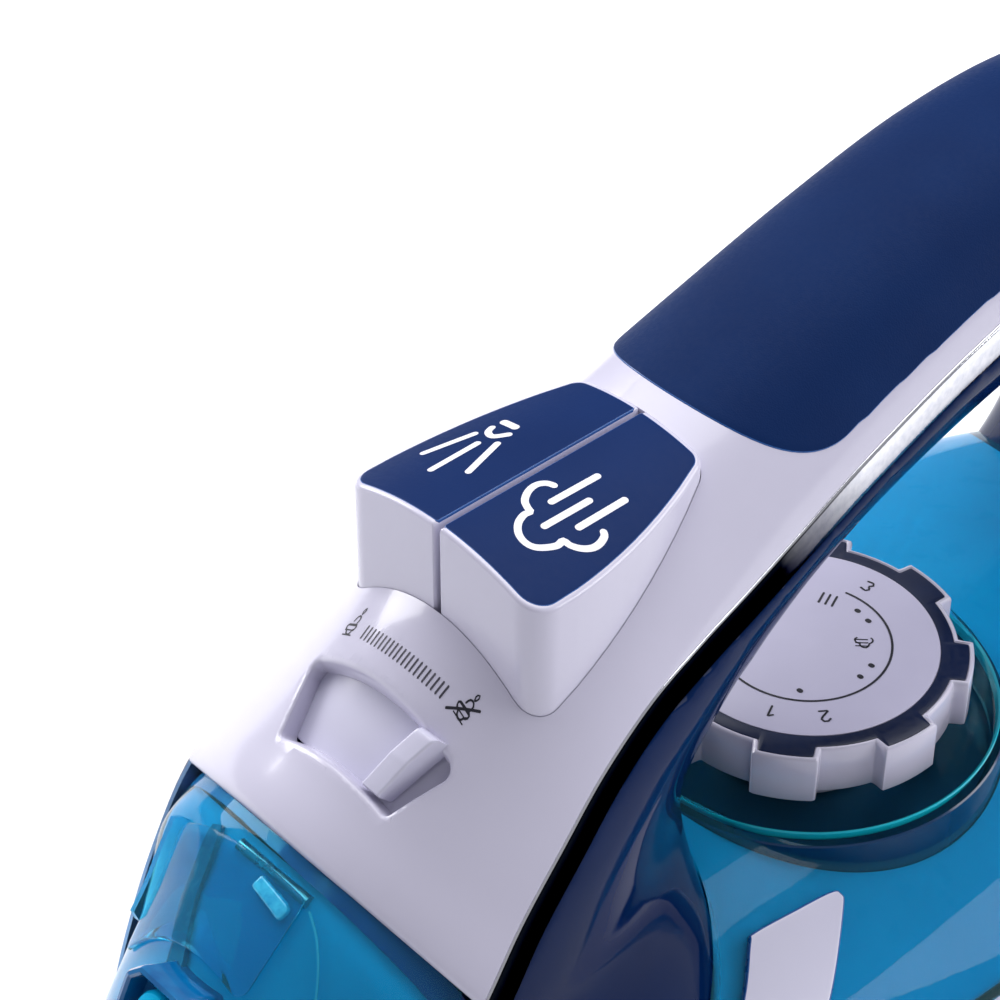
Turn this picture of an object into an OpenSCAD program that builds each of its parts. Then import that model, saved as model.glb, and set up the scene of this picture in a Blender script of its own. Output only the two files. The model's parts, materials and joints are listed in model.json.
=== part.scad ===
// Household steam iron, 283 mm long, standing flat on its soleplate.
// +Z is up, the nose points along -Y, and the origin is the middle of the footprint.

/* [Soleplate] */
// Distance from the nose tip to the heel
sole_l = 283; // [270:1:296]
// Greatest width of the soleplate
sole_w = 118; // [112:1:124]
// Thickness of the ironing plate
plate_t = 6; // [5:0.5:7]
// Radius of a steam hole
steam_hole_r = 1.5; // [1:0.1:2]
// Number of steam holes along each side
steam_holes = 9; // [6:1:11]

/* [Tank] */
// Height of the tank's crest beside the dial
deck_z = 48; // [46:0.5:49]
// Wall of the tank and of the housing shells
wall = 2.2; // [1.8:0.1:2.4]
// Radius of the round recess below the dial
recess_r = 33; // [32:0.5:34]
// Height of the floor of that recess
recess_z = 37; // [36:0.5:38]

/* [Dial] */
// Radius of the dial's printed disc
face_r = 22.7; // [21:0.1:23]
// Radius over the grip lobes of the dial
lobe_r = 28.4; // [27.5:0.1:29]
// Number of grip lobes
lobes = 8; // [7:1:12]
// Height of the dial's top face
dial_z = 57.8; // [56:0.1:58.5]
// Turn of the dial from its cool stop to its hot stop
dial_turn = 270; // [200:5:290]

/* [Buttons] */
// Height of the button tops
button_z = 128; // [127.5:0.1:128.5]
// Travel of a pressed button
press = 4; // [3:0.5:5]
// Gap between the two buttons
split = 1.2; // [0.8:0.1:1.6]
// White rim left around each blue cap
rim = 0.75; // [0.5:0.05:1]

/* [Steam slider] */
// Turn of the steam slider from off to full steam
slide_turn = 24; // [18:1:26]

/* [Filling door] */
// Thickness of the filling door
door_t = 1.8; // [1.4:0.1:2.2]

/* [Trim] */
// Height of the chrome strip
strip_h = 7; // [5:0.5:8]

/* [Cord gland] */
// Radius of the bore that takes the mains lead
cord_bore_r = 3.6; // [3:0.1:4]

/* [Hidden] */
$fn = 64;

WHITE = "#D9D6E8";
NAVY = "#1F3A70";
TEAL = "#3FA9C8";
STEEL = "#B8BCC2";

nose_y = -sole_l / 2;
heel_y = sole_l / 2;
skirt_z = 22;         // height where the tank meets the skirt
dial_y = 29.3;
valve_y = -60;
seg = 16;             // facets across a skin
neck_gap = 0.3;       // room left around a part that another one passes through
side_gap = 3.6;       // how far the tank's side stands inside the soleplate's edge

// ---- curves -----------------------------------------------------------------------------

function mix(a, b, t) = a + (b - a) * t;
function unit(v) = v / norm(v);
function cubic(a, b, c, d, t) =
    b + t * ((c - a) / 2 + t * (a - 2.5 * b + 2 * c - d / 2 + t * (1.5 * (b - c) + (d - a) / 2)));
function rung(list, i, t) = cubic(list[max(i - 1, 0)], list[i], list[i + 1],
                                  list[min(i + 2, len(list) - 1)], t);
// Smooth curve through the rows of a list, with k steps from row to row.
function smooth(list, k) = concat(
    [for (i = [0 : len(list) - 2]) for (j = [0 : k - 1]) rung(list, i, j / k)],
    [list[len(list) - 1]]);
function power(v, p) = sign(v) * pow(abs(v), p);

// Half width of the soleplate at a distance along it.
function half_w(y) =
    let (t = y - nose_y, front = 185, back = sole_l - front)
    t <= 0 || t >= sole_l ? 0
    : t < front ? sole_w / 2 * pow(1 - pow(1 - t / front, 2), 0.62)
    : sole_w / 2 * pow(1 - pow((t - front) / back, 4), 0.5);

// ---- skins ------------------------------------------------------------------------------

function quads(n, m, flip) = [for (i = [0 : n - 2]) for (j = [0 : m - 2])
    each flip ? [[i * m + j, (i + 1) * m + j, i * m + j + 1],
                 [i * m + j + 1, (i + 1) * m + j, (i + 1) * m + j + 1]]
              : [[i * m + j, i * m + j + 1, (i + 1) * m + j],
                 [i * m + j + 1, (i + 1) * m + j + 1, (i + 1) * m + j]]];
// Solid through a list of rings, each of them closed and seen from the first one.
module solid_loft(rings) {
    n = len(rings);
    m = len(rings[0]);
    wrapped = [for (r = rings) concat(r, [r[0]])];
    ends = [for (r = [rings[0], rings[n - 1]]) [for (c = [0 : 2])
        [for (p = r) 1] * [for (p = r) p[c]] / m]];
    last = n * (m + 1);
    polyhedron(
        points = concat([for (r = wrapped) each r], ends),
        faces = concat(
            quads(n, m + 1, false),
            [for (j = [0 : m - 1]) [last, j + 1, j]],
            [for (j = [0 : m - 1]) [last + 1, (n - 1) * (m + 1) + j, (n - 1) * (m + 1) + j + 1]]));
}
// Leaves a finished skin as it is, joined into one closed surface.
module skin() {
    resize([0, 0, 0]) children();
}

// ---- housing lines ----------------------------------------------------------------------

// Upper edge of the chrome strip, from the skirt over the grip to the heel:
// y, z, half width there, y and z of the crest above it, then two roundness powers.
TRIM = [
    [-99, 23, 29.4, -106, 30, 1, 2],
    [-95, 34, 30.6, -102, 42, 1, 2],
    [-89.5, 47, 32, -96, 56, 1, 2],
    [-82, 61, 33.2, -89, 71, 1, 2],
    [-73.5, 73.4, 33.6, -80.6, 85.8, 1, 2],
    [-64.5, 82, 31.6, -72.5, 93.6, 1, 2],
    [-55, 90, 30, -64, 101.7, 1, 2],
    [-45.5, 97, 28.2, -54, 111, 1.05, 2],
    [-34.5, 102.6, 26.4, -42, 117, 1.15, 2.1],
    [-23, 106.2, 25, -29, 122, 1.3, 2.2],
    [-12, 109.4, 24, -16, 126.2, 1.4, 2.3],
    [0, 113.4, 23, -4, 129.6, 1.6, 2.4],
    [15, 118.8, 22, 11, 134.2, 1.7, 2.4],
    [38, 126, 21, 35, 141, 1.8, 2.4],
    [62, 131, 20.5, 61, 146.2, 1.9, 2.4],
    [84, 131.5, 20.5, 87, 146.6, 1.9, 2.4],
    [102, 126, 21, 111, 139.5, 1.9, 2.4],
    [114, 114, 22, 127, 123, 1.9, 2.4],
    [121, 98, 23.6, 136, 103.5, 1.9, 2.5],
    [125, 79, 25.6, 139.5, 82, 1.9, 2.6],
    [127, 60, 28.6, 140.6, 61.5, 1.9, 2.7],
    [127.5, 42, 33.5, 141, 43, 1.9, 2.8],
    [127.5, 23, 41, 141.2, 23, 1.9, 2.9]
];
FRONT_EDGE = 4;       // row of TRIM where the white shell begins
GRIP = 8;             // row of TRIM where the underside of the handle begins
// Inner line of the handle's loop at the rows of TRIM from GRIP on: y, z.
UNDER = [
    [-14, 84], [-4, 80], [2, 86], [10, 92.4], [24, 97.5], [44, 101.5], [64, 104.5], [80, 104.5],
    [92, 100], [100, 91], [104, 80], [106, 66], [107, 52], [107.5, 38], [108, 22]
];

function inward(rows, i) =
    let (d = unit([for (c = [0, 1]) rows[min(i + 1, len(rows) - 1)][c] - rows[max(i - 1, 0)][c]]))
    [d[1], -d[0]];
// Upper edge of the strip: y, z, half width, then the direction down across the strip.
function strip_rows() = smooth([for (i = [0 : len(TRIM) - 1])
    concat([TRIM[i][0], TRIM[i][1], TRIM[i][2]], inward(TRIM, i))], 2);
function arc(n) = [for (j = [0 : n]) 180 * j / n];

// Outline of the white shell over one row of TRIM, inset by d.
function over(row, d) =
    let (a = row[2] - d, e = [row[0], row[1]], top = [row[3], row[4]],
         crest = top - d * unit(top - e))
    [for (s = arc(seg)) let (v = pow(sin(s), 2 / row[5]))
        [a * power(cos(s), 2 / row[6]), mix(e[0], crest[0], v), mix(e[1], crest[1], v)]];
function over_rows(first, last) =
    smooth([for (i = [first : last]) TRIM[i]], 2);

module over_solid(first, last, d, sink) {
    solid_loft([for (r = over_rows(first, last))
        let (out = over(r, d), u = unit([r[3] - r[0], r[4] - r[1]]) * sink)
        concat(out, [for (x = [-1, 1]) [x * (r[2] - d), r[0] - u[0], r[1] - u[1]]])]);
}

// Outline of the navy underside at one row: from the strip round the inner line.
function under(row, n, in, d) =
    let (a = row[2] + 0.3 - d, e = [row[0], row[1]] + strip_h * n, core = in - d * unit(in - e))
    [for (s = arc(seg)) let (v = pow(sin(s), 2 / 2.1))
        [-a * power(cos(s), 2 / 2.3), mix(e[0], core[0], v), mix(e[1], core[1], v)]];
module under_solid(d, lift) {
    rows = smooth([for (i = [GRIP : len(TRIM) - 1])
        concat([TRIM[i][0], TRIM[i][1], TRIM[i][2]], inward(TRIM, i), UNDER[i - GRIP])], 2);
    solid_loft([for (r = rows)
        let (n = [r[3], r[4]], ring = under([r[0], r[1], r[2]], n, [r[5], r[6]], d), up = -lift * n)
        concat(ring, [for (x = [1, -1]) [x * (r[2] + 0.3 - d),
            r[0] + strip_h * n[0] + up[0], r[1] + strip_h * n[1] + up[1]]])]);
}

// Horizontal slices of the neck: z, front y, half width, rear y, roundness.
NECK = [
    [21, -97, 49, -9, 3.4], [28, -95, 46, -9, 3.2], [36, -91.5, 43, -9, 3],
    [42, -89, 40, -9, 2.8], [50, -84.5, 36.6, -8.6, 2.35], [58, -80, 34.4, -8, 2.05],
    [67, -74, 33.4, -7, 1.95], [77, -66, 31.8, -4, 2], [85, -57, 30, 2, 2.1],
    [91, -49, 28.6, 8, 2.2], [98.2, -38.5, 26.4, 16, 2.4]
];
module neck_solid(d, ahead) {
    room = d < 0 ? 2 : -0.4;
    solid_loft([for (r = smooth(NECK, 2))
        let (front = r[1] - ahead, back = r[3] - d,
             side = [for (s = [0 : seg]) let (t = 1 - cos(90 * s / seg), y = mix(r[1], back, 1 - t))
                 [min(r[2] * pow(max(0, 1 - pow(1 - t, r[4])), 1 / r[4]), half_w(y) - side_gap + room)
                     - (s == 0 ? 0 : d), y]])
        concat([for (p = side) [max(p[0], 0), p[1], r[0]]],
               ahead > 0 ? [[side[seg][0], front, r[0]], [-side[seg][0], front, r[0]]] : [],
               [for (s = [seg : -1 : 1]) [-max(side[s][0], 0), side[s][1], r[0]]])]);
}

// Cross-sections of the low tank: y, height of its crest, roundness.
DECK = [
    [-100, 34, 1.55], [-80, 40, 1.55], [-60, 44, 1.55], [-40, 47, 1.55], [-20, deck_z, 1.55],
    [0, deck_z, 1.55], [30, deck_z, 1.55], [60, deck_z, 1.6], [90, deck_z - 1, 1.7],
    [112, deck_z - 3, 1.9], [126, deck_z - 6, 2.2]
];
// Cross-sections of the nose: y, height of its crest, roundness, fall from the crest to the sides.
NOSE = [
    [-134, 22.6, 2, 0], [-127, 25, 2, 0], [-120, 29.5, 1.95, 0], [-114, 37.5, 1.85, 0],
    [-110, 46.5, 1.8, 0], [-107.5, 55, 1.75, 0], [-105, 62.5, 1.7, 0], [-102, 67.8, 1.7, 0],
    [-98, 71.6, 1.75, 0], [-93, 75.5, 1.9, 0.0015], [-88, 79.3, 2.2, 0.0045],
    [-84, 82.6, 2.9, 0.008], [-80.4, 85.2, 4.5, 0.0105], [-76, 87, 6, 0.011], [-68, 90, 8, 0.011]
];
module hump_solid(rows, d, lean = 0) {
    solid_loft([for (r = smooth(rows, 2))
        let (w = max(1.5, half_w(r[0]) - side_gap - d), h = max(0.4, r[1] - skirt_z - d))
        concat([for (s = arc(seg)) let (x = w * power(cos(s), 2 / r[2]),
                up = (h - r[3] * x * x) * power(sin(s), 2 / r[2]))
            [x * (1 - lean * up), r[0], skirt_z + up]],
            [[-w, r[0], skirt_z - 8], [w, r[0], skirt_z - 8]])]);
}
module deck_solid(d) {
    hump_solid([for (r = DECK) concat(r, [0])], d);
}
module nose_solid(d) {
    hump_solid(NOSE, d, nose_lean);
}
// Everything in front of the lower run of the chrome strip, moved down the strip by d.
module ahead_of_strip(d) {
    rows = strip_rows();
    last = 2 * GRIP + 4;
    line = [for (i = [0 : last]) let (r = rows[i]) [r[0] + d * r[3], r[1] + d * r[4]]];
    rotate([90, 0, 90]) linear_extrude(height = 140, center = true)
        polygon(concat([[-145, 10], [line[0][0] - 1, 10]], line, [[line[last][0], 130], [-145, 130]]));
}
// Everything that the white shell covers, drawn forward by d.
module under_shell(d) {
    translate([0, -0.87 * d, -0.5 * d]) over_solid(FRONT_EDGE, GRIP, -neck_gap, 30);
}

// ---- base -------------------------------------------------------------------------------

// Edge of the soleplate drawn in by an inset, in proportion so that the nose stays pointed.
function outline(inset) =
    let (k = 40, kx = 1 - 2 * inset / sole_w, ky = 1 - 2 * inset / sole_l, edge = heel_y - 0.4,
         half = [for (i = [0 : k]) let (y = -edge * cos(180 * i / k)) [kx * half_w(y), ky * y]])
    concat(half, [for (i = [k : -1 : 0]) [-half[i][0], half[i][1]]]);
module slab(inset, z0, z1) {
    translate([0, 0, z0]) linear_extrude(height = z1 - z0) polygon(outline(inset));
}
module at_steam_holes() {
    for (side = [-1, 1]) for (i = [0 : steam_holes - 1]) {
        y = nose_y + 26 + i * 17;
        translate([side * (half_w(y) - 12), y, 0]) children();
    }
}
module at_chamber_screws() {
    for (p = [[0, -96], [-30, -20], [30, -20], [-34, 60], [34, 60], [0, 112]])
        translate([p[0], p[1], 0]) children();
}
module soleplate() {
    color(STEEL) difference() {
        union() {
            slab(1.2, 0, 1);
            slab(0, 1, plate_t);
            slab(7, plate_t, plate_t + 4);
        }
        at_steam_holes() cylinder(r = steam_hole_r, h = 30, center = true);
        slab(14, plate_t + 1, plate_t + 5);
    }
    color(STEEL) at_chamber_screws() difference() {
        translate([0, 0, plate_t]) cylinder(r = 4, h = 4);
        cylinder(r = 1.6, h = 20);
    }
}
element_x = 22;
element_z = plate_t + 2.5;
element_r = 1.4;
module heating_element() {
    color("#6B5E57") translate([0, 0, element_z]) {
        translate([0, -40, 0]) rotate([0, 0, 180]) rotate_extrude(angle = 180)
            translate([element_x, 0]) circle(r = element_r);
        for (x = [-element_x, element_x]) {
            translate([x, -40, 0]) rotate([-90, 0, 0]) cylinder(r = element_r, h = 90);
        }
    }
}
cover_z = plate_t + 4;
module steam_chamber_cover() {
    color("#C9CCD0") difference() {
        slab(9, cover_z, cover_z + 1.2);
        at_chamber_screws() cylinder(r = 1.8, h = 40);
        translate([0, valve_y, 0]) cylinder(r = 2.5, h = 40);
        translate([0, dial_y, 0]) cylinder(r = 9, h = 40);
    }
}
module chamber_screws() {
    color("#9A9DA2") at_chamber_screws() {
        translate([0, 0, cover_z + 1.2]) cylinder(r = 3, h = 1.8);
        translate([0, 0, plate_t + 1.2]) cylinder(r = 1.55, h = 5);
    }
}
module skirt() {
    color(WHITE) difference() {
        union() {
            slab(1.6, plate_t + 0.4, 12);
            slab(2, 12, 15);
            slab(2.5, 15, 18);
            slab(3, 18, skirt_z - 0.2);
        }
        slab(6, 0, 60);
    }
}

// ---- tank -------------------------------------------------------------------------------

fill_y = -89.5;
fill_z = 78;
door_tilt = 39;       // fall of the nose below the filling door
module on_nose() {
    translate([0, fill_y, fill_z]) rotate([door_tilt, 0, 0]) children();
}
module tank_shell() {
    color(TEAL, 0.6) difference() {
        skin() difference() {
            union() {
                difference() {
                    deck_solid(0);
                    neck_solid(-neck_gap, 4);
                }
                deck_solid(wall + 0.5);
                difference() {
                    intersection() {
                        nose_solid(0);
                        ahead_of_strip(-neck_gap);
                    }
                    under_shell(0);
                }
            }
            difference() {
                union() {
                    difference() {
                        deck_solid(wall);
                        neck_solid(-wall - neck_gap, 8);
                    }
                    deck_solid(2 * wall + 0.5);
                }
                translate([0, dial_y, recess_z - wall]) cylinder(r = recess_r + wall, h = 40);
                translate([0, dial_y, 0]) cylinder(r = 8, h = 60);
            }
            difference() {
                intersection() {
                    nose_solid(wall);
                    ahead_of_strip(-wall - neck_gap);
                }
                under_shell(wall);
            }
            translate([-80, -150, 0]) cube([160, 300, skirt_z]);
            translate([0, dial_y, recess_z]) cylinder(r = recess_r, h = 40);
            under_solid(-neck_gap, 0);
            over_solid(16, 22, -neck_gap, 8);
            both_strips();
            for (side = [-1, 1]) fin_solid(side, neck_gap / 2);
            on_nose() translate([-7, -7.5, -12]) cube([14, 17, 24]);
        }
        translate([0, dial_y, 0]) cylinder(r = 6, h = 60);
        translate([0, valve_y, 0]) cylinder(r = 2.2, h = 60);
        door_hinge_line() cylinder(r = 1.05, h = 15.6, center = true);
        nozzle_axis() cylinder(r = 5.6, h = 16, center = true);
        nozzle_axis() translate([0, 0, -30]) cylinder(r = shank_r + 0.2, h = 30);
    }
}
module tank_floor() {
    color(TEAL, 0.6) difference() {
        slab(8.6, skirt_z - 5, skirt_z - 3);
        translate([0, dial_y, 0]) cylinder(r = 7.6, h = 60);
        translate([0, valve_y, 0]) cylinder(r = 2.6, h = 60);
    }
}
module tank_seal() {
    color("#C8C8C8") difference() {
        slab(8.4, skirt_z - 2.9, skirt_z - 0.3);
        slab(11, 0, 60);
    }
}
// White fin on the side of the tank, a curved band from the deck down to the skirt.
FIN = [
    [29.5, -12.4], [30.4, -4], [31.4, 3.6], [32.6, 4.8], [34.4, 3.6], [42.5, -7.5], [49, -20],
    [54, -34], [52, -42], [47, -38], [42, -31], [35.5, -20.5], [30.2, -14]
];
module fin_solid(side, grow) {
    intersection() {
        difference() {
            deck_solid(-0.6 - grow);
            deck_solid(1.4 + grow);
        }
        translate([0, 0, skirt_z + 0.2]) linear_extrude(height = 40)
            polygon([for (p = smooth(concat(FIN, [FIN[0]]), 3)) [side * p[0], p[1]]]);
    }
}
module side_fin(side) {
    color(WHITE) skin() fin_solid(side, 0);
}
door_half = 8.2;      // half length of the door down the nose
door_left = 20.6;
door_right = 8.4;
door_lift = 0.25;
hinge_s = 7;          // place of the hinge up the nose from the door's middle
hinge_h = -1.9;
module door_patch(d0, d1, x0, x1) {
    intersection() {
        difference() {
            nose_solid(-d1);
            nose_solid(-d0);
        }
        on_nose() translate([x0, -door_half, -14]) cube([x1 - x0, door_half + hinge_s - 1.4, 40]);
    }
}
module door_hinge_line() {
    on_nose() translate([0, hinge_s, hinge_h]) rotate([0, 90, 0]) children();
}
module fill_door() {
    color(TEAL, 0.6) difference() {
        union() {
            skin() union() {
                door_patch(door_lift, door_lift + door_t, -door_left, door_right);
                door_patch(door_lift, 4.6, -door_left - 1.8, -door_left + 0.2);
            }
            door_hinge_line() cylinder(r = 1.9, h = 10, center = true);
            on_nose() translate([-5, hinge_s - 2.4, hinge_h]) cube([10, 2.4, 2.6]);
        }
        door_hinge_line() cylinder(r = 1.05, h = 40, center = true);
    }
}
module door_pin() {
    color(STEEL) door_hinge_line() cylinder(r = 1, h = 15.4, center = true);
}
nozzle_y = -102.6;
nozzle_z = 66.4;
shank_r = 2;
module nozzle_axis() {
    translate([0, nozzle_y, nozzle_z]) rotate([60, 0, 0]) children();
}
module nozzle_housing() {
    color("#2C86B4", 0.7) nozzle_axis() difference() {
        union() {
            translate([0, 0, -5]) cylinder(r = 5.4, h = 8);
            intersection() {
                translate([-6.6, -6, 0.6]) cube([13.2, 11, 3.4]);
                translate([0, 0, 0.6]) cylinder(r = 7.4, h = 3.4);
            }
            translate([0, 0, 4]) cylinder(r1 = 5, r2 = 4.2, h = 1.4);
        }
        translate([0, 0, -6]) cylinder(r = 3.05, h = 30);
    }
}
module nozzle_tip() {
    color(WHITE) nozzle_axis() difference() {
        union() {
            translate([0, 0, -5.6]) cylinder(r = 3, h = 10.6);
            translate([0, 0, 5]) cylinder(r1 = 3, r2 = 2, h = 1);
            translate([0, 0, -23]) cylinder(r = shank_r, h = 18);
        }
        translate([0, 0, -24]) cylinder(r = 0.5, h = 40);
    }
}

// ---- upper housing ----------------------------------------------------------------------

module upper_shell() {
    color(WHITE) difference() {
        skin() difference() {
            over_solid(FRONT_EDGE, 22, 0, 0);
            over_solid(FRONT_EDGE, 22, wall, 14);
            over_pad(0.1);
            block_outline(neck_gap, 90, 140);
            slider_window();
            rear_window(0.2);
            both_strips();
        }
        gland_axis() cylinder(r = 8.6, h = 60, center = true);
        pilot_axis() cylinder(r = lens_r + 0.05, h = 30);
    }
}
PAD_FIRST = 11;
module over_pad(d) {
    intersection() {
        difference() {
            over_solid(PAD_FIRST, 18, -0.15, 0);
            over_solid(PAD_FIRST, 18, 1.3 + d, 20);
        }
        rotate([90, 0, 90]) linear_extrude(height = 60, center = true) polygon([
            [-7, 140], [-7, 128], [1, 121.5 - d], [8, 122 - d], [20, 126 - d], [40, 131.5 - d],
            [64, 135.4 - d], [84, 135.6 - d], [97, 133 - d], [104, 131], [104, 150], [60, 160]]);
    }
}
module grip_pad() {
    color(NAVY) skin() over_pad(0);
}
module lower_handle() {
    color("#17305F") skin() difference() {
        union() {
            neck_solid(0, 0);
            under_solid(0, 0);
        }
        neck_solid(wall, 6);
        translate([-50, -60, 97.6]) cube([100, 34, 20]);
        under_solid(wall, 12);
        deck_solid(wall + 0.2);
        translate([-80, -150, 0]) cube([160, 300, skirt_z + 0.2]);
        ahead_of_strip(strip_h + neck_gap);
        both_strips();
    }
}
// Bar along one side for the chrome strip, grown by a margin.
module strip_solid(side, grow) {
    solid_loft([for (r = strip_rows())
        let (n = [r[3], r[4]], h = [0.15 - grow, strip_h - 0.1 + grow],
             x = [side * (r[2] - 1.2 - grow), side * (r[2] + 0.35 + grow)])
        [for (q = (side > 0 ? [[0, 0], [0, 1], [1, 1], [1, 0]] : [[0, 0], [1, 0], [1, 1], [0, 1]]))
            [x[q[0]], r[0] + h[q[1]] * n[0], r[1] + h[q[1]] * n[1]]]]);
}
module both_strips() {
    for (side = [-1, 1]) strip_solid(side, 0.15);
}
module chrome_trim(side) {
    color("#E8EAEE") skin() difference() {
        strip_solid(side, 0);
        translate([-80, -150, 0]) cube([160, 300, skirt_z + 0.2]);
    }
}

// ---- buttons ----------------------------------------------------------------------------

block_front = -51.5;
block_back = -11.5;
crown_r = 48.8;
function block_half(y) = 20.6 - 0.0057 * pow(y + 48, 2);
function block_side(inset) = [for (i = [0 : 12])
    let (y = mix(block_front + 1.6, block_back - 2.6, i / 12)) [block_half(y) - inset, y]];
function block_half_plan(inset) = concat(
    [[split / 2 + inset, block_front + inset], [block_half(block_front) - 2 - inset, block_front + inset]],
    block_side(inset),
    [[block_half(block_back) - 2.6 - inset, block_back - inset], [split / 2 + inset, block_back - inset]]);
module block_outline(grow, z0, z1) {
    right = block_half_plan(-grow);
    translate([0, 0, z0]) linear_extrude(height = z1 - z0) polygon(concat(
        right, [for (i = [len(right) - 1 : -1 : 0]) [-right[i][0], right[i][1]]]));
}
module button_plan(side, inset, z0, z1) {
    translate([0, 0, z0]) linear_extrude(height = z1 - z0)
        polygon([for (p = block_half_plan(inset)) [side * p[0], p[1]]]);
}
module crown(lift) {
    translate([0, 0, button_z - crown_r]) rotate([90, 0, 0])
        cylinder(r = crown_r + lift, h = 140, center = true, $fn = 180);
}
button_floor = 94;
cap_t = 2;
roof_z = 119;         // underside of a button's top
pump_x = 10;
pump_y = -31;
module button_body(side) {
    color(WHITE) difference() {
        intersection() {
            button_plan(side, 0, button_floor, 140);
            crown(0);
        }
        button_plan(side, 1.8, button_floor - 1, roof_z);
        difference() {
            button_plan(side, rim, 110, 140);
            crown(-cap_t);
        }
    }
}
module button_cap(side) {
    color(NAVY) difference() {
        intersection() {
            button_plan(side, rim + 0.05, 120, 140);
            crown(0.15);
        }
        crown(-cap_t + 0.05);
    }
}
stem_r = 2.4;
bore_r = 5.2;         // bore of a pump
pump_z0 = 56;
pump_z1 = 91;
module at_pump(side) {
    translate([side * pump_x, pump_y, 0]) children();
}
module plunger(side) {
    color("#E6E6E6") at_pump(side) {
        translate([0, 0, roof_z - 2.4]) cylinder(r = 5.6, h = 2.3);
        translate([0, 0, 80]) cylinder(r = stem_r, h = roof_z - 82);
        translate([0, 0, 77]) cylinder(r = bore_r - 0.06, h = 4);
    }
}
spring_z0 = pump_z1 + 2.2;
spring_z1 = roof_z - 2.6;
spring_turns = 6;
spring_wire = 0.5;
spring_r = 4.2;
// Coil of a compression spring, swept along its helix.
module button_spring(side) {
    steps = 14 * spring_turns;
    color("#A9ADB3") at_pump(side) solid_loft([for (i = [0 : steps])
        let (a = 360 * spring_turns * i / steps,
             z = mix(spring_z0 + spring_wire, spring_z1 - spring_wire, i / steps))
        [for (k = [0 : 5]) let (r = spring_r + spring_wire * cos(60 * k))
            [r * cos(a), r * sin(a), z + spring_wire * sin(60 * k)]]]);
}
module pump(side) {
    color("#DADDE2") at_pump(side) difference() {
        union() {
            translate([0, 0, pump_z0]) cylinder(r = bore_r + 1.3, h = pump_z1 - pump_z0);
            translate([0, 0, pump_z1]) cylinder(r = bore_r + 1.3, h = 2);
            translate([0, 0, pump_z0 - 6]) cylinder(r = 2.2, h = 7);
        }
        translate([0, 0, pump_z0 + 3]) cylinder(r = bore_r, h = pump_z1 - pump_z0 - 3);
        translate([0, 0, pump_z1 - 1]) cylinder(r = stem_r + 0.5, h = 20);
    }
}
module pump_bracket() {
    color("#C7CAD0") difference() {
        translate([-18, pump_y - 12, 62]) cube([36, 19, 2.4]);
        for (side = [-1, 1]) at_pump(side) cylinder(r = bore_r + 1.35, h = 140);
    }
}
// Tube of radius r swept along a smooth curve through the given points.
module hose(points, r) {
    run = smooth(points, 5);
    n = len(run);
    color("#D8E4EA", 0.8) solid_loft([for (i = [0 : n - 1])
        let (t = unit(run[min(i + 1, n - 1)] - run[max(i - 1, 0)]), s = [1, 0, 0], u = cross(t, s))
        [for (k = [0 : 7]) run[i] + r * (cos(45 * k) * s - sin(45 * k) * u)]]);
}
steam_hose_run = [[12.2, -31, 53], [15, -34, 52], [16, -42, 51.5], [12, -52, 51], [4.4, valve_y, 50]];
spray_hose_run = [[-12.2, -31, 53], [-15, -35, 52], [-15, -46, 53], [-9, -60, 56], [0, -82, 54.3]];

// ---- steam slider -----------------------------------------------------------------------

slope = 43.7;         // rise of the shell's front face
slider_y = -66.7;
slider_z = 99.4;
slide_r = 39;         // radius that the slider runs round
// Frame of the slider: z along the falling face, x across it, and the shell at y = slide_r.
module slide_axis() {
    translate([0, slider_y, slider_z]) rotate([slope, 0, 0])
        translate([0, 0, -slide_r]) rotate([90, 0, 0]) children();
}
slider_half = 6.1;
window_back = 14;     // half width of the window at its upper edge
window_front = 10.8;
module on_slope() {
    translate([0, slider_y, slider_z]) rotate([slope, 0, 0]) children();
}
module slider_window() {
    on_slope() translate([0, 0, -12]) linear_extrude(height = 24) polygon([
        [-window_front, -slider_half], [window_front, -slider_half],
        [window_back, slider_half], [-window_back, slider_half]]);
}
module slider_sector(r0, r1, half, from, to) {
    slide_axis() translate([0, 0, -half]) rotate([0, 0, 90 + from])
        rotate_extrude(angle = to - from) translate([r0, 0]) square([r1 - r0, 2 * half]);
}
module steam_slider() {
    color(WHITE) {
        slider_sector(slide_r - 5.6, slide_r - 4, slider_half + 2, -16, 29);
        slider_sector(slide_r - 4.2, slide_r + 1.8, slider_half - 0.6, -13.5, -8.5);
    }
}
module slider_cradle() {
    color("#C7CAD0") difference() {
        slider_sector(slide_r - 7.4, slide_r - 5.9, slider_half + 2.2, -34, 34);
        slider_sector(slide_r - 9, slide_r - 5, 2.4, -26, 26);
    }
}
module valve_rod() {
    color("#B08D57") translate([0, valve_y, 0]) {
        translate([0, 0, 26]) cylinder(r = 1.5, h = 52);
        translate([0, 0, 24]) cylinder(r1 = 0.6, r2 = 1.5, h = 2);
        translate([0, 0, 76]) cylinder(r = 3, h = 2);
    }
}
module valve_seat() {
    color("#B08D57") translate([0, valve_y, 0]) difference() {
        union() {
            translate([0, 0, 11.6]) cylinder(r = 2.4, h = 11);
            translate([0, 0, 17.2]) cylinder(r = 2.55, h = 2);
            translate([0, 0, 19.4]) cylinder(r = 5, h = 6);
        }
        translate([0, 0, 10]) cylinder(r = 1, h = 40);
        translate([0, 0, 21]) cylinder(r = 3.4, h = 10);
    }
}

// ---- dial -------------------------------------------------------------------------------

lobe_part = 0.53;     // share of the pitch that a lobe takes
lobe_from = -53;      // bearing of the first lobe's middle
gap_r = lobe_r - 2.4; // radius between the lobes
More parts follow.
